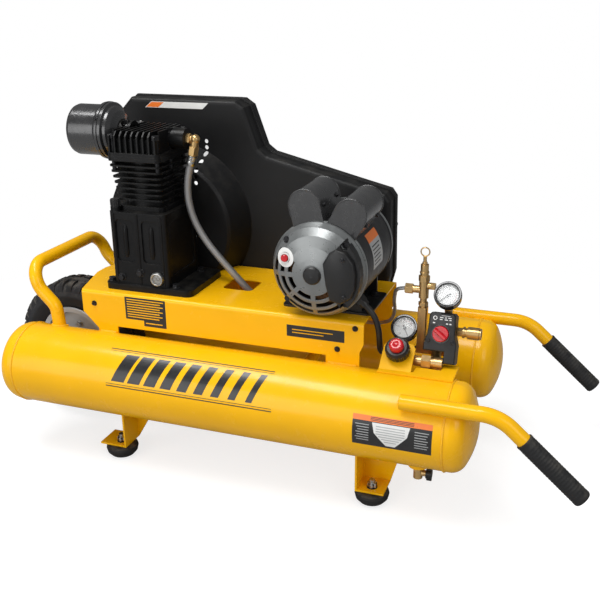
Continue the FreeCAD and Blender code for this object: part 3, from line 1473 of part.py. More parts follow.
def main():
    os.makedirs("parts", exist_ok=True)
    shift = Vector(-whole_middle(), 0, 0)
    print("origin at x =", round(whole_middle(), 3))
    for name, build in SUBPARTS.items():
        made = build()
        shape = Part.makeCompound(made) if isinstance(made, list) else made
        shape.translate(shift)
        solids = len(shape.Solids)
        print(f"{name:24s} solids {solids:2d} valid {shape.isValid()} volume {shape.Volume / 1000:10.1f} cm3")
        shape.exportStep(f"parts/{name}.step")
    for name, route in (("hose", hose_route), ("unloader", unloader_route), ("lead", lead_route)):
        print(name, "radii", [round(r) for r in limp_radii(route)])


main()
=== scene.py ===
"""Looks for a wheelbarrow-style air compressor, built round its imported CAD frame."""
import math

import bmesh
import bpy
from mathutils import Matrix, Vector


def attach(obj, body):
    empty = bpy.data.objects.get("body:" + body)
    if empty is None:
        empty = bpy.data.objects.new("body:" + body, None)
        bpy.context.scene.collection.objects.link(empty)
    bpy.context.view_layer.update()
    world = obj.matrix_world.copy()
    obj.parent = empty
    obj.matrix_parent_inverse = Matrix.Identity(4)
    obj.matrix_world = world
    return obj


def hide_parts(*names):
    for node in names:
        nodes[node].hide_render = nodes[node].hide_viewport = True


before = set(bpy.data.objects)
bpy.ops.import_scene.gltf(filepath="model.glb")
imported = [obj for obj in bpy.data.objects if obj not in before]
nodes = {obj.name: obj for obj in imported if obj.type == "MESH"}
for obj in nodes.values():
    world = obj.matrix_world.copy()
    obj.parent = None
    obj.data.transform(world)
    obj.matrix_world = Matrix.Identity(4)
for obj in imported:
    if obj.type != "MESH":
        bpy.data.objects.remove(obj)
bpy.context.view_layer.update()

TIP_TO_ORIGIN = 515.548         # mm from the tanks' wheel-end tips to the row's origin
TANK_R, TANK_Y, TANK_Z, TANK_LENGTH = 76.2, 144.0, 174.0, 914.0
X, Y, Z = Vector((1, 0, 0)), Vector((0, 1, 0)), Vector((0, 0, 1))


def at(x, y, z):
    """A point of the drawing, in mm from the wheel-end tip, as a row point in metres."""
    return Vector(((x - TIP_TO_ORIGIN) / 1000, y / 1000, z / 1000))


# ---- materials --------------------------------------------------------------------------------
class Paint:
    """A small builder round one node material."""

    def __init__(self, name):
        self.material = bpy.data.materials.new(name)
        self.material.use_nodes = True
        self.nodes = self.material.node_tree.nodes
        self.links = self.material.node_tree.links
        self.shader = self.nodes["Principled BSDF"]
        self.place = self.add("ShaderNodeTexCoord").outputs["Object"]

    def add(self, kind, inputs=(), **settings):
        node = self.nodes.new(kind)
        for key, value in settings.items():
            setattr(node, key, value)
        for key, value in dict(inputs).items():
            if isinstance(value, bpy.types.NodeSocket):
                self.links.new(value, node.inputs[key])
            else:
                node.inputs[key].default_value = value
        return node

    def noise(self, scale, detail=3.0, rough=0.55, stretch=(1, 1, 1)):
        moved = self.add("ShaderNodeMapping", {"Vector": self.place, "Scale": stretch}).outputs[0]
        return self.add("ShaderNodeTexNoise", {"Vector": moved, "Scale": scale, "Detail": detail,
                                               "Roughness": rough}).outputs[0]

    def range(self, value, low, high, to_low=0.0, to_high=1.0):
        return self.add("ShaderNodeMapRange", {"Value": value, "From Min": low, "From Max": high,
                                               "To Min": to_low, "To Max": to_high}).outputs[0]

    def mix(self, share, first, second):
        node = self.add("ShaderNodeMix", {"Factor": share}, data_type="RGBA")
        for socket, value in ((node.inputs[6], first), (node.inputs[7], second)):
            if isinstance(value, bpy.types.NodeSocket):
                self.links.new(value, socket)
            else:
                socket.default_value = (*value, 1)
        return node.outputs[2]

    def math(self, kind, first, second):
        return self.add("ShaderNodeMath", {0: first, 1: second}, operation=kind).outputs[0]

    def bump(self, height, strength, distance, normal=None):
        inputs = {"Height": height, "Strength": strength, "Distance": distance}
        if normal:
            inputs["Normal"] = normal
        return self.add("ShaderNodeBump", inputs).outputs[0]

    def set(self, **values):
        for key, value in values.items():
            socket = self.shader.inputs[key.replace("_", " ")]
            if isinstance(value, bpy.types.NodeSocket):
                self.links.new(value, socket)
            else:
                socket.default_value = value


def surface(name, colour, rough, metallic=0.0, vary=0.10, mottle=14.0, rough_vary=0.07, grain=(900, 0.05, 0.0002),
            wave=None, coat=0.0, coat_rough=0.12, wear=0.0, bare=(0.42, 0.40, 0.37), bare_metal=1.0, dust=0.0,
            round_mm=0.8, stretch=(1, 1, 1), specular=0.5):
    """A worn solid finish: uneven colour and gloss, fine grain, softened edges, and rubbed ones where wear is set."""
    p = Paint(name)
    soft = p.add("ShaderNodeBevel", {"Radius": round_mm / 1000}, samples=4)
    patches = p.noise(mottle, 4.0, stretch=stretch)
    dark = tuple(c * (1 - vary) for c in colour)
    light = tuple(min(1.0, c * (1 + vary)) for c in colour)
    tint = p.mix(p.range(patches, 0.3, 0.7), dark, light)
    gloss = p.range(p.noise(mottle * 4, 5.0, 0.6), 0.3, 0.7, max(0.02, rough - rough_vary), rough + rough_vary)
    if dust:
        facing = p.add("ShaderNodeSeparateXYZ", {0: p.add("ShaderNodeNewGeometry").outputs["Normal"]}).outputs[2]
        lying = p.math("MULTIPLY", p.range(facing, 0.2, 0.95), p.range(p.noise(45, 6.0, 0.65), 0.42, 0.72, 0.0, dust))
        tint = p.mix(lying, tint, (0.42, 0.38, 0.31))
    if wear:
        real = p.add("ShaderNodeNewGeometry").outputs["Normal"]
        along = p.add("ShaderNodeVectorMath", {0: soft.outputs[0], 1: real}, operation="DOT_PRODUCT").outputs["Value"]
        edge = p.range(along, 0.90, 0.985, 1.0, 0.0)
        rubbed = p.math("MULTIPLY", edge, p.range(p.noise(120, 6.0, 0.7), 0.58 - 0.1 * wear, 0.66, 0.0, wear))
        tint = p.mix(rubbed, tint, bare)
        if bare_metal != metallic:
            p.set(Metallic=p.range(rubbed, 0.0, 1.0, metallic, bare_metal))
    if not (wear and bare_metal != metallic):
        p.set(Metallic=metallic)
    normal = soft.outputs[0]
    if wave:
        normal = p.bump(p.noise(wave[0], 2.0), wave[1], wave[2], normal)
    normal = p.bump(p.noise(grain[0], 3.0, 0.6, stretch), grain[1], grain[2], normal)
    p.set(Base_Color=tint, Roughness=gloss, Normal=normal, Coat_Weight=coat, Coat_Roughness=coat_rough,
          Specular_IOR_Level=specular)
    p.material.diffuse_color = (*colour, 1)
    return p.material


def painted_vent_daylight():
    """A pale strip that glows: painted light standing in for daylight seen through the guard's vents."""
    p = Paint("painted_vent_daylight")
    tint = p.mix(p.range(p.noise(30), 0.3, 0.7), (0.86, 0.86, 0.86), (0.92, 0.92, 0.92))
    # painted light: the emission makes the strip glow like daylight coming through the vents
    p.set(Base_Color=tint, Roughness=0.7, Emission_Color=(1.0, 1.0, 1.0, 1.0), Emission_Strength=0.6)
    return p.material


def braided():
    """Fine steel braid: two sets of strands that cross, laid out on the tube's own UV."""
    p = Paint("steel_braid")
    uv = p.add("ShaderNodeUVMap", uv_map="UVMap").outputs[0]
    split = p.add("ShaderNodeSeparateXYZ", {0: uv})
    along, round_ = split.outputs[0], split.outputs[1]
    strands = []
    for sign in (1.0, -1.0):
        turned = p.math("ADD", along, p.math("MULTIPLY", round_, sign))
        strands.append(p.math("SINE", p.math("MULTIPLY", turned, 12 * math.tau), 0))
    weave = p.math("MAXIMUM", strands[0], strands[1])
    tint = p.mix(p.range(weave, -0.4, 1.0), (0.22, 0.22, 0.225), (0.80, 0.80, 0.80))
    tint = p.mix(p.range(p.noise(25), 0.35, 0.75, 0.0, 0.25), tint, (0.42, 0.41, 0.40))
    p.set(Base_Color=tint, Metallic=0.75, Roughness=p.range(weave, -1.0, 1.0, 0.62, 0.36),
          Normal=p.bump(weave, 0.7, 0.0006))
    return p.material


def dial_paper():
    p = Paint("dial_paper")
    tint = p.mix(p.range(p.noise(60, 4.0), 0.3, 0.7), (0.80, 0.80, 0.79), (0.88, 0.88, 0.87))
    p.set(Base_Color=tint, Roughness=p.range(p.noise(400), 0.3, 0.7, 0.42, 0.55),
          Normal=p.bump(p.noise(1500), 0.05, 0.0001))
    return p.material


def clear(name, tint, rough, alpha):
    p = Paint(name)
    smear = p.noise(70, 5.0)
    p.set(Base_Color=p.mix(p.range(smear, 0.4, 0.8), tint, tuple(c * 0.9 for c in tint)), Metallic=0.0,
          Roughness=p.range(smear, 0.3, 0.8, rough, rough + 0.08), Alpha=alpha, IOR=1.47,
          Normal=p.bump(p.noise(90), 0.02, 0.0002), Coat_Weight=0.6, Coat_Roughness=0.04)
    return p.material


YELLOW = (0.95, 0.49, 0.002)
DECAL = {"grain": (1500, 0.04, 0.0001), "coat": 0.2, "round_mm": 0.2}
M = {
    "yellow": surface("yellow_enamel", YELLOW, 0.25, vary=0.035, mottle=9, rough_vary=0.04,
                      grain=(420, 0.035, 0.0004), wave=(60, 0.05, 0.0006), coat=0.12, coat_rough=0.10,
                      specular=0.26, wear=0.45, bare=(0.40, 0.28, 0.12), dust=0.025, round_mm=1.0),
    "weld": surface("painted_weld", YELLOW, 0.36, vary=0.06, mottle=70, grain=(700, 0.25, 0.0006), coat=0.25,
                    round_mm=0.5),
    "black_cast": surface("black_casting_enamel", (0.005, 0.005, 0.0053), 0.36, specular=0.16, vary=0.25,
                          mottle=40, rough_vary=0.09, grain=(650, 0.30, 0.0006), wave=(120, 0.10, 0.0006),
                          coat=0.12, coat_rough=0.3, wear=0.25, bare=(0.16, 0.155, 0.15), dust=0.05,
                          round_mm=1.2),
    "black_satin": surface("satin_black_enamel", (0.011, 0.011, 0.012), 0.33, specular=0.42, vary=0.2, mottle=18,
                           grain=(1100, 0.07, 0.0003), wave=(45, 0.04, 0.0006), coat=0.15, coat_rough=0.25, wear=0.35,
                           bare=(0.2, 0.19, 0.18), dust=0.04, round_mm=1.0),
    "guard": surface("textured_guard_plastic", (0.011, 0.011, 0.0115), 0.44, specular=0.22, vary=0.08,
                     mottle=11, rough_vary=0.06, grain=(1500, 0.32, 0.0004), wave=(22, 0.05, 0.0015),
                     wear=0.18, bare=(0.10, 0.10, 0.10), bare_metal=0.0, dust=0.05, round_mm=2.0),
    "silver": surface("silver_bell_enamel", (0.23, 0.24, 0.24), 0.30, metallic=0.55, vary=0.08, mottle=30,
                      rough_vary=0.04, grain=(500, 0.02, 0.0002), wave=(90, 0.03, 0.0004), coat=0.2, dust=0.03),
    "shell": surface("dark_grey_motor_enamel", (0.020, 0.020, 0.021), 0.40, specular=0.25, vary=0.12, mottle=16,
                     grain=(900, 0.12, 0.0003), coat=0.1, dust=0.05),
    "capacitor": surface("capacitor_cover_enamel", (0.024, 0.024, 0.025), 0.24, specular=0.8, vary=0.08,
                         mottle=20, grain=(600, 0.015, 0.0002), wave=(50, 0.03, 0.0005), coat=0.45,
                         coat_rough=0.16, dust=0.04, round_mm=1.5),
    "black_plastic": surface("moulded_black_plastic", (0.010, 0.010, 0.0105), 0.42, vary=0.15, mottle=30,
                             grain=(1800, 0.14, 0.0002), wear=0.25, bare=(0.08, 0.08, 0.08), bare_metal=0.0, dust=0.04),
    "gloss_black": surface("gloss_black", (0.010, 0.010, 0.011), 0.16, vary=0.2, mottle=30, rough_vary=0.04,
                           grain=(1200, 0.03, 0.0002), coat=0.4, coat_rough=0.06, wear=0.3, bare=(0.3, 0.3, 0.3)),
    "rubber": surface("black_rubber", (0.018, 0.018, 0.0185), 0.62, vary=0.2, mottle=40, rough_vary=0.08,
                      grain=(1600, 0.35, 0.0003), wear=0.3, bare=(0.07, 0.07, 0.068), bare_metal=0.0, dust=0.22,
                      specular=0.3),
    "tyre": surface("tyre_rubber", (0.020, 0.020, 0.022), 0.66, vary=0.25, mottle=30, rough_vary=0.09,
                    grain=(1300, 0.35, 0.0004), wear=0.45, bare=(0.09, 0.088, 0.085), bare_metal=0.0, dust=0.30,
                    specular=0.3),
    "rim": surface("pale_rim_enamel", (0.46, 0.47, 0.48), 0.38, vary=0.08, mottle=22, grain=(700, 0.10, 0.0004),
                   coat=0.2, wear=0.4, bare=(0.3, 0.28, 0.26), dust=0.12),
    "steel": surface("zinc_steel", (0.50, 0.50, 0.49), 0.32, metallic=1.0, vary=0.15, mottle=60, rough_vary=0.10,
                     grain=(900, 0.10, 0.0002), wear=0.3, bare=(0.7, 0.7, 0.7)),
    "bolt": surface("black_oxide_bolts", (0.030, 0.030, 0.032), 0.38, metallic=0.7, vary=0.3, mottle=150,
                    rough_vary=0.10, grain=(1200, 0.15, 0.0002), wear=0.8, bare=(0.30, 0.29, 0.28), round_mm=0.6),
    "brass": surface("machined_brass", (0.66, 0.44, 0.19), 0.33, metallic=0.9, vary=0.10, mottle=70, rough_vary=0.06,
                     grain=(600, 0.02, 0.0002), wear=0.2, bare=(0.85, 0.65, 0.30), round_mm=0.5),
    "bracket": surface("bracket_enamel", YELLOW, 0.50, vary=0.035, mottle=9, grain=(420, 0.03, 0.0003),
                       specular=0.2, round_mm=1.0),
    "aluminium": surface("cast_aluminium", (0.52, 0.52, 0.53), 0.38, metallic=1.0, vary=0.12, mottle=60,
                         grain=(900, 0.15, 0.0003), wear=0.3, bare=(0.7, 0.7, 0.7)),
    "iron": surface("turned_iron", (0.16, 0.16, 0.165), 0.42, metallic=0.9, vary=0.2, mottle=50,
                    grain=(700, 0.15, 0.0004), wear=0.5, bare=(0.4, 0.4, 0.4)),
    "copper": surface("wound_core", (0.30, 0.14, 0.06), 0.45, metallic=0.6, vary=0.3, mottle=120,
                      grain=(400, 0.4, 0.001), stretch=(1, 8, 1)),
    "paper": surface("filter_paper", (0.72, 0.66, 0.48), 0.85, vary=0.1, grain=(700, 0.3, 0.0005), mottle=80),
    "red": surface("red_plastic", (0.56, 0.008, 0.016), 0.25, vary=0.10, mottle=60, rough_vary=0.05,
                   grain=(1200, 0.05, 0.0002), coat=0.4, coat_rough=0.08, wear=0.2, bare=(0.7, 0.2, 0.2),
                   bare_metal=0.0, round_mm=0.7),
    "tube": surface("grey_tube", (0.42, 0.43, 0.44), 0.35, metallic=0.8, vary=0.12, mottle=90,
                    grain=(800, 0.06, 0.0002)),
    "jacket": surface("cable_jacket", (0.014, 0.014, 0.015), 0.42, vary=0.2, mottle=60, grain=(1500, 0.15, 0.0002),
                      wear=0.2, bare=(0.06, 0.06, 0.06), bare_metal=0.0, dust=0.1),
    "decal_black": surface("black_decal", (0.014, 0.014, 0.015), 0.34, vary=0.15, mottle=50, **DECAL),
    "decal_white": surface("white_decal", (0.78, 0.78, 0.76), 0.36, vary=0.03, mottle=60, **DECAL),
    "decal_grey": surface("grey_decal", (0.42, 0.43, 0.43), 0.36, vary=0.06, mottle=60, **DECAL),
    "decal_orange": surface("orange_decal", (0.88, 0.20, 0.025), 0.34, vary=0.05, mottle=60, **DECAL),
    "braid": braided(),
    # glowing strip material: painted daylight behind the guard's vents
    "lit": painted_vent_daylight(),
    "dial": dial_paper(),
    "lens": clear("gauge_lens", (0.95, 0.97, 0.97), 0.03, 0.16),
    "oil_glass": clear("sight_glass_oil", (0.42, 0.41, 0.38), 0.10, 0.45),
}

CAD_FINISH = {
    "yellow": "tanks tank_fittings saddle lift_handle carry_handles foot_brackets",
    "bracket": "control_bracket",
    "rubber": "grips rubber_feet drive_belt",
    "tyre": "tyre",
    "rim": "rim",
    "bolt": "hex_bolts",
    "steel": "axle ball_bearings crankshaft rotor",
    "iron": "flywheel motor_pulley",
    "aluminium": "piston connecting_rod",
    "black_cast": "crankcase bearing_cover cylinder valve_plate cylinder_head",
    "black_satin": "motor_base",
    "black_plastic": "oil_plug terminal_cover regulator_knob switch_base switch_cover drain_knob_near drain_knob_far",
    "gloss_black": "gauge_cases",
    "decal_black": "outlet_needle tank_needle",
    "capacitor": "filter_cover filter_base capacitor_covers",
    "guard": "guard_front guard_back",
    "shell": "motor_shell",
    "silver": "front_bell rear_bell",
    "copper": "stator_and_capacitors",
    "paper": "filter_element",
    "brass": "regulator_body manifold brass_fittings safety_valve safety_pin coupler_sleeve",
    "braid": "discharge_hose",
    "tube": "unloader_tube",
    "jacket": "motor_lead",
    "red": "reset_button switch_knob",
    "lens": "gauge_lenses",
    "oil_glass": "sight_glass",
}
for finish, names in CAD_FINISH.items():
    for name in names.split():
        mesh = nodes[name].data
        mesh.materials.clear()
        mesh.materials.append(M[finish])


# ---- building pieces --------------------------------------------------------------------------
SIDES = ((-1, "near"), (1, "far"))


def linked(name, data):
    """A new object of the scene."""
    obj = bpy.data.objects.new(name, data)
    bpy.context.scene.collection.objects.link(obj)
    return obj


def round_about(count, reach, start=0.0):
    """Pairs spaced evenly round a circle."""
    angles = [math.tau * n / count + start for n in range(count)]
    return [(reach * math.cos(angle), reach * math.sin(angle)) for angle in angles]
def piece(name, bm, finish, slot, body="frame", sharp=35, bevel=0.0, stands_for=()):
    """The bmesh as a named piece that rides on a body, smooth except at its sharp edges."""
    mesh = bpy.data.meshes.new(name)
    bmesh.ops.recalc_face_normals(bm, faces=bm.faces)
    bm.to_mesh(mesh)
    bm.free()
    mesh.shade_smooth()
    mesh.set_sharp_from_angle(angle=math.radians(sharp))
    mesh.materials.append(M[finish])
    obj = linked(name, mesh)
    if bevel:
        rounded = obj.modifiers.new("rounded", "BEVEL")
        rounded.width, rounded.segments = bevel / 1000, 2
        rounded.limit_method, rounded.angle_limit = "ANGLE", math.radians(40)
        rounded.use_clamp_overlap = True
    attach(obj, body)
    if stands_for:
        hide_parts(*stands_for)
    return obj


def square_to(axis):
    """Two directions square to an axis and to each other."""
    axis = axis.normalized()
    side = axis.cross(Z if abs(axis.z) < 0.9 else X).normalized()
    return side, axis.cross(side)

def join_rings(bm, rings, closed=False, capped=False):
    """Faces between neighbouring rings of points; a ring of one point makes a fan."""
    for low, high in zip(rings, rings[1:] + (rings[:1] if closed else [])):
        if len(low) == 1 and len(high) == 1:
            continue
        for n in range(max(len(low), len(high))):
            corners = (low[n % len(low)], low[(n + 1) % len(low)], high[(n + 1) % len(high)], high[n % len(high)])
            bm.faces.new(list(dict.fromkeys(corners)))
    if capped:
        bm.faces.new(rings[-1])
        bm.faces.new(list(reversed(rings[0])))


def add_lathe(bm, profile, base, axis, steps=72):
    """A closed turned form: profile holds (radius, height) in mm along the axis from base."""
    axis = axis.normalized()
    side, other = square_to(axis)
    rings = []
    for radius, height in profile:
        centre = base + axis * (height / 1000)
        if radius < 1e-6:
            rings.append([bm.verts.new(centre)])
            continue
        rings.append([bm.verts.new(centre + side * a + other * b) for a, b in round_about(steps, radius / 1000)])
    join_rings(bm, rings, closed=True)


def lathe(name, profile, base, axis, finish, slot, steps=72, **more):
    bm = bmesh.new()
    add_lathe(bm, profile, base, axis, steps)
    return piece(name, bm, finish, slot, **more)


def add_tube(bm, points, radius, steps=12, closed=False, flat=1.0, uv=None, pitch=None, up=None):
    """A tube along points; radius in mm, or a function of the point's number. Its open ends are capped flat."""
    count = len(points)
    size = radius if callable(radius) else lambda n: radius
    rings, before = [], None
    for n, point in enumerate(points):
        ahead = points[(n + 1) % count] if closed or n < count - 1 else point
        behind = points[n - 1] if closed or n else point
        run = (ahead - behind).normalized()
        if up is not None:
            side = run.cross(up(n) if callable(up) else up).normalized()
        elif before is None:
            side = square_to(run)[0]
        else:
            side = (before - run * before.dot(run)).normalized()
        before = side
        other = run.cross(side)
        r = size(n) / 1000
        rings.append([bm.verts.new(point + side * (r * math.cos(math.tau * k / steps))
                                   + other * (r * flat * math.sin(math.tau * k / steps))) for k in range(steps)])
    layer = bm.loops.layers.uv.verify() if uv else None
    pairs = list(zip(range(count), range(1, count))) + ([(count - 1, 0)] if closed else [])
    for low, high in pairs:
        for k in range(steps):
            face = bm.faces.new([rings[low][k], rings[low][(k + 1) % steps], rings[high][(k + 1) % steps],
                                 rings[high][k]])
            if layer:
                for loop, (a, b) in zip(face.loops, ((low, k), (low, k + 1), (high, k + 1), (high, k))):
                    loop[layer].uv = (a * pitch, b / steps)
    if not closed:
        bm.faces.new(list(reversed(rings[0])))
        bm.faces.new(rings[-1])


def add_weld(bm, points, radius, closed=False, ripple=2.6, up=None):
    """A weld bead: a low tube whose size ripples along its length."""
    dense = []
    pairs = list(zip(points, points[1:])) + ([(points[-1], points[0])] if closed else [])
    for a, b in pairs:
        steps = max(1, round((b - a).length * 1000 / (ripple / 4)))
        dense += [a.lerp(b, n / steps) for n in range(steps)]
    if not closed:
        dense.append(points[-1])
    add_tube(bm, dense, lambda n: radius * (1 + 0.13 * math.sin(math.tau * n / 4) + 0.07 * math.sin(n * 0.37)),
             steps=8, closed=closed, up=up)


def add_prism(bm, outline, low, high, place):
    """A flat outline given depth; place(a, b, depth) gives each corner's point."""
    front = [bm.verts.new(place(a, b, low)) for a, b in outline]
    back = [bm.verts.new(place(a, b, high)) for a, b in outline]
    bm.faces.new(front)
    bm.faces.new(list(reversed(back)))
    for n in range(len(outline)):
        m = (n + 1) % len(outline)
        bm.faces.new([front[n], back[n], back[m], front[m]])


def add_patch(bm, corners, place, lift=0.15, rows=10, columns=24):
    """A thin sticker over a curved surface. corners are 4 (a, b) pairs; place(a, b, height) gives its points."""
    (a0, b0), (a1, b1), (a2, b2), (a3, b3) = corners
    layers = []
    for height in (0.02, lift):
        grid = []
        for i in range(rows + 1):
            v = i / rows
            row = []
            for j in range(columns + 1):
                u = j / columns
                a = (a0 * (1 - u) + a1 * u) * (1 - v) + (a3 * (1 - u) + a2 * u) * v
                b = (b0 * (1 - u) + b1 * u) * (1 - v) + (b3 * (1 - u) + b2 * u) * v
                row.append(bm.verts.new(place(a, b, height)))
            grid.append(row)
        layers.append(grid)
    low, high = layers
    for i in range(rows):
        for j in range(columns):
            bm.faces.new([high[i][j], high[i][j + 1], high[i + 1][j + 1], high[i + 1][j]])
            bm.faces.new([low[i][j], low[i + 1][j], low[i + 1][j + 1], low[i][j + 1]])
    rim = [(0, j) for j in range(columns)] + [(i, columns) for i in range(rows)] \
        + [(rows, j) for j in range(columns, 0, -1)] + [(i, 0) for i in range(rows, 0, -1)]
    for (i, j), (k, m) in zip(rim, rim[1:] + rim[:1]):
        bm.faces.new([low[i][j], low[k][m], high[k][m], high[i][j]])

def oblong(left, right, high, low):
    """The corners of an upright oblong, as add_patch takes them."""
    return [(left, high), (right, high), (right, low), (left, low)]


def half_rings(inner, outer):
    """Two half turns of a flat ring, for a place that takes (radius, angle)."""
    return [[(inner, half), (outer, half), (outer, half + 180), (inner, half + 180)] for half in (0, 180)]


def sticker(name, quads, place, finish, slot="black_plastic", lift=0.15, rows=10, columns=24):
    """Thin patches over a surface, as one piece."""
    bm = bmesh.new()
    for quad in quads:
        add_patch(bm, quad, place, lift, rows, columns)
    return piece(name, bm, finish, slot)

def tank_place(side):
    """Places (x, angle) on a tank's wall; the angle is measured outwards from level, then up."""
    def place(x, angle, height):
        reach = TANK_R + height
        return at(x, side * (TANK_Y + reach * math.cos(math.radians(angle))),
                  TANK_Z + reach * math.sin(math.radians(angle)))
    return place


def leaned(base, degrees):
    """Places points of a part that was drawn upright and then leaned back about its base."""
    turn = Matrix.Rotation(math.radians(-degrees), 3, "X")
    return lambda x, y, z: at(*(turn @ Vector((x, y, z)) + Vector(base)))


def bolt(bm, centre, axis, width, height, washer=0.0):
    """A chamfered hex head on a round washer, standing along axis from centre."""
    axis = axis.normalized()
    side, other = square_to(axis)
    if washer:
        add_lathe(bm, [(0, 0), (washer, 0), (washer, 1.0), (washer - 0.4, 1.3), (0, 1.3)], centre, axis, 24)
        centre = centre + axis * 0.0013
    rings = []
    for share, rise in ((1.0, 0.0), (1.0, height * 0.72), (0.86, height), (0.5, height * 0.97)):
        rings.append([bm.verts.new(centre + side * (a * share / 1000) + other * (b * share / 1000)
                                   + axis * (rise / 1000)) for a, b in round_about(6, width / math.sqrt(3))])
    join_rings(bm, rings, capped=True)


def bolts(name, spots, width, height, washer=0.0, finish="bolt", slot="black_bolt", body="frame"):
    """Hex heads as one piece; spots holds (centre, axis) pairs."""
    bm = bmesh.new()
    for centre, axis in spots:
        bolt(bm, centre, axis, width, height, washer)
    return piece(name, bm, finish, slot, body=body)


# ---- tanks, frame and welds -------------------------------------------------------------------
HEAD_SEAM = 47.0                # mm from a tank's tip to its head's weld
HANDLE_R, LIFT_R, LIFT_X, LIFT_Y = 12.7, 12.5, 96, 120
HANDLE_REACH = (TANK_R + HANDLE_R + 0.3) / math.sqrt(2)     # from a tank's middle to its carrying tube's
SKIRT = 115.0                   # the saddle's skirts, each way from the middle


def tank_welds():
    """A bead round each tank where its two heads are welded on."""
    for side, word in SIDES:
        bm = bmesh.new()
        for x in (HEAD_SEAM, TANK_LENGTH - HEAD_SEAM):
            add_weld(bm, [tank_place(side)(x, 4 * n, 0.1) for n in range(90)], 1.7, closed=True, ripple=3.0, up=X)
        piece(f"tank_seams_{word}", bm, "weld", "yellow_paint")


def handle_welds():
    """Stitches beside the carrying tubes, beads round the lifting bar's feet, and the tubes' pressed end caps."""
    spread = math.degrees(HANDLE_R * 0.62 / TANK_R)
    for side, word in SIDES:
        bm = bmesh.new()
        place = tank_place(side)
        for turn in (-1, 1):
            for start in (TANK_LENGTH - 114, TANK_LENGTH - 66):
                line = [place(start + 34 * n / 12, 45 + turn * spread, 1.6) for n in range(13)]
                add_weld(bm, line, 3.0, ripple=3.2)
        foot = []
        for dx, dy in round_about(40, LIFT_R + 1.2):
            inwards = min(TANK_R - 0.5, abs(LIFT_Y + dy - TANK_Y))
            foot.append(at(LIFT_X + dx, side * (LIFT_Y + dy), TANK_Z + math.sqrt(TANK_R ** 2 - inwards ** 2) + 0.6))
        add_weld(bm, foot, 2.4, closed=True, ripple=3.2)
        piece(f"handle_welds_{word}", bm, "weld", "yellow_paint")
    for side, word in SIDES:
        base = at(TANK_LENGTH - 119, side * (TANK_Y + HANDLE_REACH), TANK_Z + HANDLE_REACH)
        lathe(f"handle_cap_{word}", [(0, 0), (11.6, 0), (11.9, -0.8), (8.0, -2.2), (0, -2.8)], base, X, "yellow",
              "yellow_paint", steps=36)


def saddle_welds():
    """Stitches where the saddle's skirts stand on the tanks."""
    y = SKIRT + 0.9
    z = TANK_Z + math.sqrt(TANK_R ** 2 - (TANK_Y - y) ** 2) + 0.4
    bm = bmesh.new()
    for side in (-1, 1):
        for start, end in ((186, 219), (643, 694)):
            add_weld(bm, [at(start, side * y, z), at(end, side * y, z)], 2.3, ripple=3.4)
    piece("saddle_welds", bm, "weld", "yellow_paint")


def bung_welds():
    """A bead round each tank's drain port."""
    bm = bmesh.new()
    for side in (-1, 1):
        add_weld(bm, [at(TANK_LENGTH - 98 + dx, side * TANK_Y + dy, TANK_Z - math.sqrt(TANK_R ** 2 - dy ** 2) - 0.4)
                      for dx, dy in round_about(36, 18.2)], 1.9, closed=True)
    piece("drain_ring_welds", bm, "weld", "yellow_paint")


def tank_decals():
    """A generic band on the near tank: two pairs of pinstripes with slanted bars between them, and a plain label."""
    place = tank_place(-1)
    start, end = 254.0, 576.0
    top, low = 64.0, 10.5
    slant = 0.10                # mm along the tank for each mm down the wall

    def along(x, angle):
        return x - slant * (angle - low) * math.radians(1) * TANK_R

    bm = bmesh.new()
    for angle, width in ((top, 1.3), (top - 3.2, 0.7), (low, 1.3), (low + 3.2, 0.7)):
        stripe = oblong(along(start, angle), along(end, angle), angle + width / 2, angle - width / 2)
        add_patch(bm, stripe, place, rows=1, columns=60)
    bars, lean, high, bottom = 9, 20.0, top - 7.0, low + 7.0
    pitch = (end - start - 26) / bars
    for n in range(bars):
        x, width = start + 10 + n * pitch, pitch * (0.80 - 0.055 * n)
        bar = [(x + lean, high), (x + lean + width, high), (x + width, bottom), (x, bottom)]
        add_patch(bm, bar, place, rows=14, columns=8)
    piece("tank_band", bm, "decal_black", "black_plastic")

    left, right, high, band, bottom = 719.0, 851.0, 26.0, 19.0, -14.0
    middle = (left + right) / 2
    sticker("tank_label_paper", [oblong(left, right, band, bottom)], place, "decal_black", lift=0.12, columns=10)
    sticker("tank_label_band", [oblong(left, right, high, band)], place, "decal_orange", "red_plastic", 0.16, 3, 10)
    bm = bmesh.new()
    upper = [(middle - 33, band - 1), (middle + 30, band - 1), (middle + 26, 5), (middle - 29, 5)]
    lower = [(middle - 29, 5), (middle + 26, 5), (middle + 6, bottom + 3), (middle - 9, bottom + 3)]
    add_patch(bm, upper, place, lift=0.2, rows=5, columns=5)
    add_patch(bm, lower, place, lift=0.2, rows=6, columns=5)
    piece("tank_label_shield", bm, "decal_white", "black_plastic")
    lines = []
    for side in (-1, 1):
        for n in range(7):
            reach = 23.0 - (n * 7) % 5
            start = middle + side * 38 - (reach if side < 0 else 0)
            lines.append(oblong(start, start + reach, band - 4.4 - n * 3.4, band - 5.4 - n * 3.4))
    sticker("tank_label_rows", lines, place, "decal_grey", lift=0.2, rows=1, columns=3)
    lines = [oblong(left + 30, right - 30, high - 1.4 - n * 1.7, high - 2.2 - n * 1.7) for n in range(3)]
    sticker("tank_label_panels", lines, place, "decal_black", lift=0.24, rows=1, columns=8)
    lines = []
    for n in range(7):
        half = 24 - max(0, n - 3) * 4.6
        lines.append(oblong(middle - 2 - half, middle - 2 + half, band - 4.6 - n * 3.2, band - 5.8 - n * 3.2))
    sticker("tank_label_lines", lines, place, "decal_grey", lift=0.28, rows=1, columns=6)


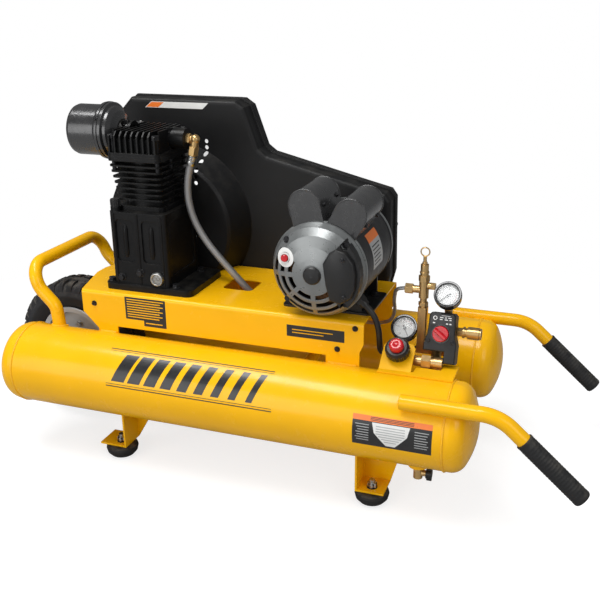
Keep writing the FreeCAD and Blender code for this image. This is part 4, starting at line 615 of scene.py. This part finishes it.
def saddle_decals():
    """Plain black plates with printed lines on the saddle's front skirt, one stepped and one long."""
    def place(x, z, height):
        return at(x, -SKIRT - height, z)

    plates = [oblong(243, 328, 321, 277), oblong(281, 328, 277, 266), oblong(567, 673, 306.5, 285)]
    sticker("saddle_plates", plates, place, "decal_black", rows=2, columns=2)
    marks = [(247, 324, 316.5 - n * 4.9, 1.0) for n in range(8)] + [(285, 324, 272.5, 1.0)]
    marks += [(577, 663, 298.5, 0.8), (577, 640, 293.0, 0.8)]
    lines = [oblong(x0, x1 - (number * 7) % 13, z + half, z - half) for number, (x0, x1, z, half) in enumerate(marks)]
    sticker("saddle_plate_lines", lines, place, "yellow", "yellow_paint", 0.22, 1, 2)


def saddle_screws():
    bolts("saddle_screws", [(at(x, -SKIRT, z), -Y) for x, z in ((176, 300), (660, 272), (692, 314))], 7, 3, 5.2)


# ---- wheel, grips and feet --------------------------------------------------------------------
WHEEL_X, WHEEL_Z, WHEEL_R, RIM_R = 65.0, 170.0, 131.0, 74.0


def tyre_treads():
    """Shoulder lugs, a centre rib and sidewall rings, in the space of the CAD tyre."""
    centre = at(WHEEL_X, 0, WHEEL_Z)
    half = 44.5
    body = [(RIM_R + 0.3, -28), (RIM_R + 6, -33), (RIM_R + 18, -half + 3), (RIM_R + 28, -half + 0.8),
            (RIM_R + 30, -half + 0.2), (RIM_R + 32, -half + 0.8), (WHEEL_R - 20, -half + 2.6), (WHEEL_R - 8, -33),
            (WHEEL_R - 5.0, -24), (WHEEL_R - 4.0, -9), (WHEEL_R - 1.0, -7), (WHEEL_R - 0.6, 0),
            (WHEEL_R - 1.0, 7), (WHEEL_R - 4.0, 9), (WHEEL_R - 5.0, 24), (WHEEL_R - 8, 33),
            (WHEEL_R - 20, half - 2.6), (RIM_R + 32, half - 0.8), (RIM_R + 30, half - 0.2), (RIM_R + 28, half - 0.8),
            (RIM_R + 18, half - 3), (RIM_R + 6, 33), (RIM_R + 0.3, 28)]
    bm = bmesh.new()
    add_lathe(bm, body, centre, Y, 144)
    lugs = 36
    section = ((WHEEL_R - 0.3, 12), (WHEEL_R - 0.6, 25), (WHEEL_R - 5.2, 35), (WHEEL_R - 15, 40))
    for n in range(lugs):
        for side in (-1, 1):
            angle = math.tau * (n + (0.5 if side > 0 else 0)) / lugs
            for first, second in zip(section, section[1:]):
                add_lug(bm, centre, angle, side, first, second)
    piece("tyre_tread", bm, "tyre", "tyre", body="wheel", sharp=40, stands_for=("tyre",))


def add_lug(bm, centre, angle, side, first, second, width=6.8, depth=6.0):
    """One block of tread between two points of its section, each (radius, height)."""
    out = X * math.cos(angle) + Z * math.sin(angle)
    across = X * -math.sin(angle) + Z * math.cos(angle)
    corners = []
    for r, y in (first, second):
        for drop in (0.0, depth):
            for turn in (-1, 1):
                corners.append(bm.verts.new(centre + out * ((r - drop) / 1000) + Y * (side * y / 1000)
                                            + across * (turn * (width - (0 if drop else 1.0)) / 1000)))
    a, b, c, d, e, f, g, h = corners
    for face in ((a, b, f, e), (c, g, h, d), (a, e, g, c), (b, d, h, f), (a, c, d, b), (e, f, h, g)):
        bm.faces.new(face)


def wheel_details():
    centre = at(WHEEL_X, 0, WHEEL_Z)
    for side, word in SIDES:
        spots = [(centre + X * dx + Z * dz + Y * (side * 0.0138), Y * side) for dx, dz in round_about(5, 0.034, 0.3)]
        bolts(f"rim_bolts_{word}", spots, 10, 5, 8, "steel", "plain_steel", "wheel")
    lathe("tyre_valve", [(0, 0), (4.2, 0), (3.8, 8), (2.6, 10), (2.6, 16), (3.3, 16.5), (3.3, 21), (2.4, 22), (0, 22)],
          centre + X * 0.060 + Y * -0.026, Vector((-0.55, -0.83, 0)), "rubber", "rubber_black", steps=20, body="wheel")


GRIP_R, GRIP_LENGTH, GRIP_CAP = 15.15, 128.0, 4.0


def grip_details():
    """Each rubber grip, with raised rings along it, a lip at its inner end and a closed tip."""
    valley = GRIP_R - 0.35
    profile = [(12.75, 0), (GRIP_R - 0.2, 0.2), (GRIP_R, 2), (GRIP_R - 0.2, 4.2), (valley, 5.2)]
    for n in range(19):
        c = 12.6 + 5.6 * n
        profile += [(valley, c - 1.7), (GRIP_R - 0.15, c - 0.8), (GRIP_R, c), (GRIP_R - 0.15, c + 0.8),
                    (valley, c + 1.7)]
    profile += [(valley, 118), (GRIP_R - 0.1, 120), (GRIP_R - 0.1, 125), (GRIP_R - 1.2, 127.3), (10, GRIP_LENGTH),
                (0, GRIP_LENGTH)]
    for side, word in SIDES:
        corner = at(TANK_LENGTH + 38, side * (TANK_Y + HANDLE_REACH), TANK_Z + HANDLE_REACH)
        tip = at(TANK_LENGTH + 170, side * (TANK_Y + HANDLE_REACH), 119.5)
        along = (tip - corner).normalized()
        base = tip + along * ((GRIP_CAP - GRIP_LENGTH) / 1000)
        lathe(f"ribbed_grip_{word}", profile, base, along, "rubber", "rubber_black", steps=48, stands_for=("grips",))


FOOT_X, FOOT_TOP = (228.0, TANK_LENGTH - 179), 28.5


def foot_nuts():
    """Plated nuts and thread ends over the feet's bolts."""
    bm = bmesh.new()
    for x in FOOT_X:
        for side in (-1, 1):
            spot = at(x, side * TANK_Y, FOOT_TOP + 1.9)
            bolt(bm, spot, Z, 15.8, 7.9)
            add_tube(bm, [spot + Z * 0.0070, spot + Z * 0.0135], 5.3, steps=20)
    piece("foot_nuts", bm, "steel", "plain_steel")


tank_welds()
handle_welds()
saddle_welds()
bung_welds()
tank_decals()
saddle_decals()
saddle_screws()
tyre_treads()
wheel_details()
grip_details()
foot_nuts()

# ---- pump -------------------------------------------------------------------------------------
PUMP_X, CASE_FRONT, CASE_BASE, HEAD_TOP = 267.0, -90.0, 337.0, 623.0
GLASS_X, GLASS_Z, GLASS_R = 303.0, 354.0, 13.5


def pump_casting():
    """Raised ribs in the crankcase's panels, and cast pads."""
    bm = bmesh.new()
    for x in (PUMP_X - 27, PUMP_X + 27):
        line = [at(x, CASE_FRONT + 3.6, 390 + 62 * n / 8) for n in range(9)]
        add_tube(bm, line, lambda n: 5.0 if 0 < n < 8 else 2.5, steps=20)
    for x in (PUMP_X - 49, PUMP_X, PUMP_X + 49):
        line = [at(x, CASE_FRONT + 0.6, CASE_BASE + 2 + 134 * n / 10) for n in range(11)]
        add_tube(bm, line, 2.6, steps=16)
    piece("case_ribs", bm, "black_cast", "black_casting", sharp=60)
    plugs = [(at(x, CASE_FRONT, z), -Y) for x, z in ((PUMP_X - 40, 350), (PUMP_X, 362))]
    bolts("case_plugs", plugs, 11, 5, 8)


def sight_glass():
    """The sight glass in four parts: ring, lens, pale back and the target ring printed on it."""
    centre = at(GLASS_X, CASE_FRONT, GLASS_Z)
    ring = [(GLASS_R - 4, 0.2), (GLASS_R, 0.2), (GLASS_R, 5), (GLASS_R - 1.4, 7.4), (GLASS_R - 3.0, 7.8),
            (GLASS_R - 4, 7.0)]
    lathe("sight_ring", ring, centre, -Y, "steel", "sight_glass", steps=48, stands_for=("sight_glass",))
    lathe("sight_lens", [(0, 1.0), (9.4, 1.0), (9.4, 5.6), (7.6, 6.4), (0, 6.9)], centre, -Y, "oil_glass",
          "sight_glass", steps=48)
    lathe("sight_back", [(0, 0.3), (9.2, 0.3), (9.2, 0.8), (0, 0.8)], centre, -Y, "decal_white", "sight_glass",
          steps=40)
    lathe("sight_target", [(2.0, 0.85), (4.6, 0.85), (4.6, 1.05), (2.0, 1.05)], centre, -Y, "decal_black",
          "sight_glass", steps=32)


def head_details():
    """A riveted plate on the head, and ribs round the oil plug."""
    bm = bmesh.new()
    add_prism(bm, oblong(206, 232, -24, 22), HEAD_TOP + 0.1, HEAD_TOP + 1.3, at)
    piece("head_plate", bm, "steel", "plain_steel", bevel=0.3)
    rivets = [(at(x, y, HEAD_TOP + 1.3), Z) for x, y in ((210, -19), (228, 17))]
    bolts("head_plate_rivets", rivets, 4, 1.6, 0.0, "steel", "plain_steel")
    bm = bmesh.new()
    for dx, dy in round_about(14, 0.0086):
        spot = at(219, -80, 491) + X * dx + Y * dy
        add_tube(bm, [spot - Z * 0.005, spot + Z * 0.0055], 0.9, steps=8)
    piece("plug_ribs", bm, "black_plastic", "black_plastic", body="oil_plug")


def filter_details():
    """A rolled rim with its screws, and a wing nut's boss, on the intake canister."""
    start = at(116, -20, 612)
    rim = [(51.2, 62.6), (52.6, 64.0), (52.95, 66.0), (52.6, 68.4), (51.2, 70.0), (50.4, 66)]
    lathe("filter_rim", rim, start, X, "black_satin", "black_satin", steps=96)
    outwards = [Y * a + Z * b for a, b in round_about(3, 1.0, 0.5)]
    bolts("filter_rim_screws", [(start + X * 0.0665 + out * 0.0525, out) for out in outwards], 6, 2.5)
    lathe("filter_boss", [(0, -1.4), (5, -1.4), (7.5, -0.9), (8.5, 0.2), (0, 0.2)], start, X, "black_satin",
          "black_satin", steps=40)


ELBOW_X = 360.0
HOSE_ROUTE = [(ELBOW_X - 7, -20, 574), (ELBOW_X - 18, -19, 545), (ELBOW_X - 25, -16, 500), (ELBOW_X - 19, -12, 455),
              (ELBOW_X + 1, -6, 412), (ELBOW_X + 31, 0, 372), (ELBOW_X + 62, 5, 337), (ELBOW_X + 88, 12, 304),
              (ELBOW_X + 110, 28, 278)]


def smooth_line(points, resolution=10):
    """Points along the NURBS spline whose control points these are."""
    curve = bpy.data.curves.new("line", "CURVE")
    curve.dimensions = "3D"
    curve.resolution_u = resolution
    spline = curve.splines.new("NURBS")
    spline.points.add(len(points) - 1)
    for spot, p in zip(spline.points, points):
        spot.co = (*at(*p), 1)
    spline.order_u = 3
    spline.use_endpoint_u = True
    holder = linked("line", curve)
    mesh = bpy.data.meshes.new_from_object(holder)
    line = [v.co.copy() for v in mesh.vertices]
    bpy.data.objects.remove(holder)
    bpy.data.meshes.remove(mesh)
    return line


def discharge_hose():
    line = smooth_line(HOSE_ROUTE, 14)
    bm = bmesh.new()
    add_tube(bm, line, 6.7, steps=32, uv=True, pitch=0.115)
    piece("braided_hose", bm, "braid", "braid", sharp=80, stands_for=("discharge_hose",))
    crimp = [(6.8, 0), (8.4, 0), (8.6, 1.5), (8.0, 3), (8.6, 4.5), (8.0, 6), (8.6, 7.5), (8.0, 9), (8.6, 10.5),
             (8.6, 17), (8.0, 18.5), (6.8, 18.5)]
    lathe("hose_crimp_top", crimp, line[0], line[2] - line[0], "steel", "plain_steel", steps=40)
    lathe("hose_crimp_low", crimp, line[-1], line[-3] - line[-1], "steel", "plain_steel", steps=40)


# ---- guard ------------------------------------------------------------------------------------
GUARD_OUTLINE = [(110, 256), (110, 585), (124, 628), (150, 655), (379, 655), (397, 643), (425, 565), (441, 553),
                 (622, 508), (680, 494), (690, 480), (692, 331), (684, 300), (610, 284), (430, 256)]
GUARD_FRONT, GUARD_SPLIT, GUARD_BACK = 115.3, 150.0, 183.0


def grown(points, out):
    """The clockwise outline moved outwards."""
    lines = []
    for (x0, z0), (x1, z1) in zip(points, points[1:] + points[:1]):
        length = math.hypot(x1 - x0, z1 - z0)
        nx, nz = -(z1 - z0) / length, (x1 - x0) / length
        lines.append(((x0 + nx * out, z0 + nz * out), (x1 - x0, z1 - z0)))
    moved = []
    for ((px, pz), (pu, pw)), ((qx, qz), (qu, qw)) in zip(lines[-1:] + lines[:-1], lines):
        along = ((qx - px) * qw - (qz - pz) * qu) / (pu * qw - pw * qu)
        moved.append((px + pu * along, pz + pw * along))
    return moved


def add_band(bm, inner, outer, low, high):
    """A closed strip between two outlines, from one depth to another."""
    loops = [[bm.verts.new(at(x, y, z)) for x, z in outline] for outline, y in
             ((inner, low), (outer, low + 0.8), (outer, high - 0.8), (inner, high))]
    join_rings(bm, loops, closed=True)


def guard_details():
    """The lips where the two halves meet, rear screws, a label, and a glowing strip behind the vents that paints in
    daylight seen through them.
    """
    bm = bmesh.new()
    for low, high in ((-4.2, 0.1), (0.3, 4.6)):
        add_band(bm, grown(GUARD_OUTLINE, -1.0), grown(GUARD_OUTLINE, 3.2), GUARD_SPLIT + low, GUARD_SPLIT + high)
    piece("guard_lips", bm, "guard", "guard_plastic", bevel=0.5)
    places = ((118, 420), (124, 560), (390, 600), (540, 520), (684, 420), (684, 330))
    bolts("guard_rear_screws", [(at(x, GUARD_BACK - 1.0, z), Y) for x, z in places], 8, 3, 6)

    def front(a, b, height):
        return at(a, GUARD_FRONT - height, b)

    sticker("guard_label", [[(198, 648.5), (323, 649), (310, 637), (184, 636.5)]], front, "decal_white",
            "guard_plastic", 0.25, 2, 6)
    sticker("guard_label_end", [[(198.5, 647.5), (226, 647.5), (213, 637.5), (186, 637.5)]], front, "decal_orange",
            "red_plastic", 0.32, 2, 4)
    # a glowing strip just behind the vents: painted daylight showing through them
    bm = bmesh.new()
    add_prism(bm, [(306, 494), (324, 494), (324, 584), (306, 584)], GUARD_FRONT + 3.1, GUARD_FRONT + 3.6,
              lambda a, b, depth: at(a, depth, b))
    piece("painted_daylight_strip", bm, "lit", "guard_plastic")


# ---- motor ------------------------------------------------------------------------------------
MOTOR_X, MOTOR_Z, MOTOR_R = 627.0, 413.9, 82.5
MOTOR_FRONT, MOTOR_REAR = -108.0, 58.0
BUTTON_X, BUTTON_Z = 577.0, 438.0
BELL = [(0, 42), (18, 42), (28, 40.5), (MOTOR_R - 36, 37), (MOTOR_R - 18, 30), (MOTOR_R - 6, 20), (MOTOR_R, 8)]


def bell_front(x, z):
    """The bell's outer surface at a point of its front, as a distance in Y."""
    reach = math.hypot(x - MOTOR_X, z - MOTOR_Z)
    for (r0, h0), (r1, h1) in zip(BELL, BELL[1:]):
        if r0 <= reach <= r1:
            return MOTOR_FRONT - (h0 + (h1 - h0) * (reach - r0) / (r1 - r0))
    return MOTOR_FRONT


def motor_details():
    """The shell's beads and label, the bell's lip and button ring, and the terminal box."""
    for y, word in ((MOTOR_FRONT + 5, "front"), (MOTOR_REAR - 5, "rear")):
        bead = [(MOTOR_R - 0.3, -2.6), (MOTOR_R + 0.9, -1.2), (MOTOR_R + 1.1, 0), (MOTOR_R + 0.9, 1.2),
                (MOTOR_R - 0.3, 2.6)]
        lathe(f"shell_bead_{word}", bead, at(MOTOR_X, y, MOTOR_Z), Y, "shell", "shell_grey", steps=120)
    lip = [(MOTOR_R - 1.5, -1.2), (MOTOR_R + 1.3, -1.2), (MOTOR_R + 1.6, -0.4), (MOTOR_R + 1.6, 2.6),
           (MOTOR_R + 1.0, 3.4), (MOTOR_R - 1.5, 3.4)]
    lathe("bell_lip", lip, at(MOTOR_X, MOTOR_FRONT, MOTOR_Z), -Y, "silver", "bell_silver", steps=120)

    def ring_place(r, angle, height):
        x = BUTTON_X + r * math.cos(math.radians(angle))
        z = BUTTON_Z + r * math.sin(math.radians(angle))
        return at(x, bell_front(x, z) - height, z)

    sticker("button_ring", half_rings(9.6, 16.2), ring_place, "decal_white", "bell_silver", 0.3, 24, 4)
    lathe("button_collar", [(6.6, 0.05), (9.6, 0.05), (9.4, 0.6), (6.8, 0.6)],
          at(BUTTON_X, MOTOR_FRONT - 36, BUTTON_Z), -Y, "decal_white", "bell_silver", steps=48)

    def shell_place(y, angle, height):
        reach = MOTOR_R + height
        return at(MOTOR_X + reach * math.cos(math.radians(angle)), y, MOTOR_Z + reach * math.sin(math.radians(angle)))

    sticker("motor_label", [oblong(-66, -8, 27, -6)], shell_place, "decal_grey", "plain_steel", 0.2, 12, 4)
    sticker("motor_label_band", [oblong(-66, -8, 38, 27)], shell_place, "decal_orange", "red_plastic", 0.22, 5, 4)
    lines = [oblong(-60, -16 - (n * 5) % 9, 22 - n * 4.4, 20.6 - n * 4.4) for n in range(6)]
    sticker("motor_label_lines", lines, shell_place, "shell", "shell_grey", 0.3, 1, 2)
    bm = bmesh.new()
    cover = [(656, 455), (668, 462), (683, 458), (697, 441), (701, 421), (700, 396), (694, 380), (675, 368), (657, 372),
             (650, 399), (645, 436)]
    rings = []
    for share, y in ((1.0, -122.0), (1.0, -148.0), (0.97, -150.4), (0.90, -151.6)):
        rings.append([bm.verts.new(at(673 + (x - 673) * share, y, 414 + (z - 414) * share)) for x, z in cover])
    join_rings(bm, rings, capped=True)
    piece("terminal_box", bm, "black_plastic", "black_plastic", bevel=0.8)
    bolts("terminal_screws", [(at(x, -151.6, z), -Y) for x, z in ((680, 446), (682, 382))], 6, 2.0, 4.2)


CAP_FRONT, CAP_REAR, CAP_R, CAP_REACH = -112.0, -5.0, 27.5, 110.0


def capacitor_details():
    """Rolled end rims and foot screws on the two capacitor covers."""
    for angle, word in ((104.0, "left"), (61.0, "right")):
        reach = math.radians(angle)
        out = X * math.cos(reach) + Z * math.sin(reach)
        across = X * -math.sin(reach) + Z * math.cos(reach)
        centre = at(MOTOR_X + CAP_REACH * math.cos(reach), 0, MOTOR_Z + CAP_REACH * math.sin(reach))
        bm = bmesh.new()
        for y in (CAP_FRONT + 0.6, CAP_REAR - 0.6):
            line = []
            for n in range(25):
                turn = math.pi * n / 24
                line.append(centre + Y * (y / 1000) + (across * math.cos(turn) + out * math.sin(turn)) * (CAP_R / 1000))
            low = [centre + Y * (y / 1000) + across * (sign * CAP_R / 1000) - out * 0.014 for sign in (1, -1)]
            add_tube(bm, [low[0]] + line + [low[1]], 1.3, steps=10, up=Y)
        piece(f"capacitor_rims_{word}", bm, "capacitor", "black_satin", sharp=60)
        spots = [(centre + Y * (y / 1000) + across * (sign * CAP_R / 1000) - out * 0.006, across * sign)
                 for y in (CAP_FRONT + 18, CAP_REAR - 18) for sign in (1, -1)]
        bolts(f"capacitor_screws_{word}", spots, 6, 2.5, 4.6)


pump_casting()
sight_glass()
head_details()
filter_details()
discharge_hose()
guard_details()
motor_details()
capacitor_details()


# ---- controls ---------------------------------------------------------------------------------
PANEL = leaned((TANK_LENGTH - 148, -103.9, 274.7), 50)
SWITCH = leaned((TANK_LENGTH - 82, -97.0, 262.0), 20)
GAUGE_TILT, GAUGE_R = 40, 23.0
SWITCH_KNOB_Z = 50.0
SWEEP = 264.0                   # degrees of a dial's scale


def add_number(bm, word, place, centre, height, depth):
    """Plain figures, standing upright about centre on a flat dial."""
    curve = bpy.data.curves.new("number", "FONT")
    curve.body, curve.size = word, 1.0
    curve.align_x, curve.align_y = "CENTER", "CENTER"
    curve.extrude = 0.5
    holder = linked("number", curve)
    mesh = bpy.data.meshes.new_from_object(holder)
    made = bmesh.new()
    made.from_mesh(mesh)
    for v in made.verts:
        a, b, out = v.co
        v.co = place(centre[0] + a * height * 1.3, depth - out * 0.05, centre[1] + b * height * 1.3)
    plain = bpy.data.meshes.new("number")
    made.to_mesh(plain)
    bm.from_mesh(plain)
    made.free()
    bpy.data.objects.remove(holder)
    for used in (mesh, plain):
        bpy.data.meshes.remove(used)


def dial_face(name, place, zero):
    """A printed dial; zero is the angle of its nought, and the scale runs clockwise."""
    def flat(r, angle, height=0.0):
        return place(r * math.cos(math.radians(angle)), 4.6 - height, r * math.sin(math.radians(angle)))

    paper = bmesh.new()
    rings = [[paper.verts.new(place(a, y, b)) for a, b in round_about(72, r)]
             for r, y in ((1.6, 4.95), (20.4, 4.95), (20.4, 4.6), (1.6, 4.6))]
    join_rings(paper, rings, closed=True)
    piece(f"{name}_paper", paper, "dial", "gauge_glass")
    marks = bmesh.new()
    for n in range(41):
        angle = zero - SWEEP * n / 40
        low, wide = (15.4, 0.55) if n % 10 == 0 else (16.4, 0.36) if n % 5 == 0 else (17.3, 0.24)
        half = math.degrees(wide / 2 / 17)
        add_patch(marks, [(low, angle - half), (18.8, angle - half), (18.8, angle + half), (low, angle + half)],
                  flat, lift=0.12, rows=1, columns=1)
    for step in range(44):
        first, second = zero - SWEEP * step / 44, zero - SWEEP * (step + 1) / 44
        add_patch(marks, oblong(18.8, 19.2, first, second), flat, lift=0.12, rows=1, columns=1)
    for n in range(5):
        angle = math.radians(zero - SWEEP * n / 4)
        add_number(marks, str(50 * n), place, (12.2 * math.cos(angle), 12.2 * math.sin(angle)), 2.7, 4.52)
    piece(f"{name}_marks", marks, "decal_black", "needle_black")
    red = [oblong(13.9, 14.5, zero - SWEEP * (0.76 + n * 0.06), zero - SWEEP * (0.82 + n * 0.06)) for n in range(4)]
    sticker(f"{name}_limit", red, flat, "red", "red_plastic", 0.12, 1, 3)


def gauges():
    for name, centre, zero in (("outlet_dial", (TANK_LENGTH - 153, -45.0, 298.0), 300.0),
                               ("tank_dial", (TANK_LENGTH - 77, -60.0, 373.0), 222.0)):
        place = leaned(centre, GAUGE_TILT)
        dial_face(name, place, zero)
        front = place(0, -1.0, 0)
        out = (place(0, -2.0, 0) - front).normalized()
        bezel = [(GAUGE_R - 3.9, -1.4), (GAUGE_R - 3.9, 1.6), (GAUGE_R - 2.6, 2.7), (GAUGE_R - 0.3, 2.6),
                 (GAUGE_R + 0.5, 1.8), (GAUGE_R + 0.6, 0), (GAUGE_R + 0.6, -6), (GAUGE_R + 0.1, -7.4),
                 (GAUGE_R - 0.7, -7.4), (GAUGE_R - 0.7, -1.4)]
        lathe(f"{name}_bezel", bezel, front, out, "gloss_black", "gloss_black", steps=96)


def regulator_details():
    out = (PANEL(0, -1, 0) - PANEL(0, 0, 0)).normalized()
    cap = [(0, 23.9), (12.3, 23.9), (12.3, 30.6), (11.9, 31.6), (10.2, 34.1), (9.4, 34.5), (4.2, 34.5), (3.6, 34.1),
           (0, 34.1)]
    lathe("regulator_cap", cap, PANEL(0, 0, 0), out, "red", "red_plastic", steps=72, body="regulator_knob")
    bm = bmesh.new()
    for a, b in round_about(36, 20.0):
        line = [PANEL(a, -y, b) for y in (6, 8, 17, 19.5)]
        add_tube(bm, line, lambda k: 0.4 if k in (0, 3) else 1.15, steps=8)
    piece("regulator_knurl", bm, "gloss_black", "black_plastic", body="regulator_knob")
    nut = [(12.2, 0.3), (17.0, 0.3), (17.4, 0.8), (17.4, 1.6), (16.8, 1.95), (12.2, 1.95)]
    lathe("regulator_nut", nut, PANEL(0, 0, 0), out, "gloss_black", "black_plastic", steps=60)


def on_switch(x, z):
    """Places (radius, angle) about a point of the switch's cover."""
    def place(r, angle, height):
        return SWITCH(x + r * math.cos(math.radians(angle)), -height, z + r * math.sin(math.radians(angle)))
    return place


def switch_details():
    """The cover's label with its marks, the knob's ring and two screws."""
    def front(x, z, height):
        return SWITCH(x, -height, z)

    sticker("switch_label", [[(-18.6, 83), (18.6, 83), (19.6, 64.6), (-19.6, 64.6)]], front, "decal_black",
            "black_plastic", 0.2, 4, 8)
    bm = bmesh.new()
    for half in half_rings(2.3, 3.6):
        add_patch(bm, half, on_switch(-12.2, 76.4), lift=0.34, rows=12, columns=2)
    for x, z, w, h in ((-4.2, 78.6, 5.6, 1.5), (-4.2, 75.2, 4.4, 1.5), (4.0, 78.6, 3.2, 1.5), (9.4, 78.6, 6.0, 1.5),
                       (4.0, 75.2, 5.6, 1.5), (12.0, 75.2, 3.4, 1.5), (-1.6, 81.4, 15.0, 0.7), (-15.4, 68.8, 4.0, 1.9),
                       (7.0, 68.8, 3.4, 1.9), (12.6, 68.8, 3.4, 1.9)):
        add_patch(bm, oblong(x, x + w, z, z - h), front, lift=0.34, rows=1, columns=2)
    piece("switch_marks", bm, "decal_white", "black_plastic")
    sticker("switch_ring", half_rings(14.2, 15.8), on_switch(0, SWITCH_KNOB_Z), "gloss_black", "black_plastic", 0.5, 24,
            2)
    out = SWITCH(0, -1, 0) - SWITCH(0, 0, 0)
    bolts("switch_screws", [(SWITCH(x, 0.1, 37.0), out) for x in (-22 * 0.92, 22 * 0.92)], 4.6, 1.6, 3.4)

gauges()
regulator_details()
switch_details()


# ---- floor, lights and camera -----------------------------------------------------------------
FLOOR_GLOW = 0.74
FLOOR_LIT, FLOOR_WHITE = 0.62, 1.35     # m from the middle: lit paper inside the first, plain white beyond


def floor():
    """Paper that glows to the camera and turns plain white away from the middle."""
    bm = bmesh.new()
    reach = 9.0
    bm.faces.new([bm.verts.new((x, y, -0.0005)) for x, y in oblong(-reach, reach, -reach, reach)])
    mesh = bpy.data.meshes.new("studio_floor")
    bm.to_mesh(mesh)
    bm.free()
    paint = Paint("studio_floor")
    tint = paint.mix(paint.range(paint.noise(3), 0.3, 0.7), (0.40, 0.40, 0.40), (0.41, 0.41, 0.41))
    reach_out = paint.add("ShaderNodeVectorMath", {0: paint.place}, operation="LENGTH").outputs["Value"]
    far = paint.range(reach_out, FLOOR_LIT, FLOOR_WHITE)
    seen = paint.add("ShaderNodeLightPath").outputs["Is Camera Ray"]
    glow = paint.math("MULTIPLY", paint.range(far, 0, 1, FLOOR_GLOW, 1.0), seen)
    paint.set(Base_Color=paint.mix(paint.math("MULTIPLY", far, seen), tint, (0.0, 0.0, 0.0)), Roughness=0.9,
              Specular_IOR_Level=0.0, Emission_Color=(1.0, 1.0, 1.0, 1.0), Emission_Strength=glow)
    mesh.materials.append(paint.material)
    linked("studio_floor", mesh)


def lamp(name, place, aim, power, width, height):
    light = bpy.data.lights.new(name, "AREA")
    light.shape, light.size, light.size_y, light.energy = "RECTANGLE", width, height, power
    holder = linked(name, light)
    holder.location = place
    holder.rotation_euler = (Vector(aim) - Vector(place)).to_track_quat("-Z", "Y").to_euler()


def surroundings():
    """A white backdrop for the camera, and dimmer light for everything else."""
    world = bpy.data.worlds.new("studio")
    bpy.context.scene.world = world
    world.use_nodes = True
    tree = world.node_tree
    tree.nodes.clear()
    path = tree.nodes.new("ShaderNodeLightPath")
    glow, back, both = (tree.nodes.new(kind) for kind in
                        ("ShaderNodeBackground", "ShaderNodeBackground", "ShaderNodeMixShader"))
    dark = tree.nodes.new("ShaderNodeMapRange")
    dark.inputs["To Min"].default_value, dark.inputs["To Max"].default_value = 0.40, 0.15
    tree.links.new(path.outputs["Is Glossy Ray"], dark.inputs["Value"])
    glow.inputs["Color"].default_value = (0.97, 0.985, 1, 1)
    tree.links.new(dark.outputs[0], glow.inputs["Strength"])
    back.inputs["Color"].default_value, back.inputs["Strength"].default_value = (1, 1, 1, 1), 1.0
    out = tree.nodes.new("ShaderNodeOutputWorld")
    tree.links.new(path.outputs["Is Camera Ray"], both.inputs[0])
    tree.links.new(glow.outputs[0], both.inputs[1])
    tree.links.new(back.outputs[0], both.inputs[2])
    tree.links.new(both.outputs[0], out.inputs[0])


def camera():
    turn, rise, roll = math.radians(20.2), math.radians(20.5), math.radians(-0.7)
    look = Vector((-math.sin(turn) * math.cos(rise), math.cos(turn) * math.cos(rise), -math.sin(rise)))
    right = Vector((math.cos(turn), math.sin(turn), 0))
    up = right.cross(look)
    across = right * math.cos(roll) + up * math.sin(roll)
    above = up * math.cos(roll) - right * math.sin(roll)
    data = bpy.data.cameras.new("camera")
    data.lens, data.sensor_width = 51.6, 36.0
    data.clip_start = 0.05
    eye = linked("camera", data)
    eye.matrix_world = Matrix((across, above, -look)).transposed().to_4x4()
    eye.location = (0.55615, -1.4173, 0.8736)
    bpy.context.scene.camera = eye


floor()
surroundings()
lamp("overhead", (-0.6, -0.72, 2.6), (-0.1, 0, 0.2), 50, 2.2, 0.7)
lamp("front_fill", (-1.2, -2.8, 1.0), (0, 0, 0.25), 30, 2.2, 1.8)
lamp("right_fill", (2.2, -1.8, 1.6), (0.3, 0, 0.25), 16, 1.4, 1.6)
camera()
bpy.context.scene.view_settings.view_transform = "Standard"

bpy.context.view_layer.update()
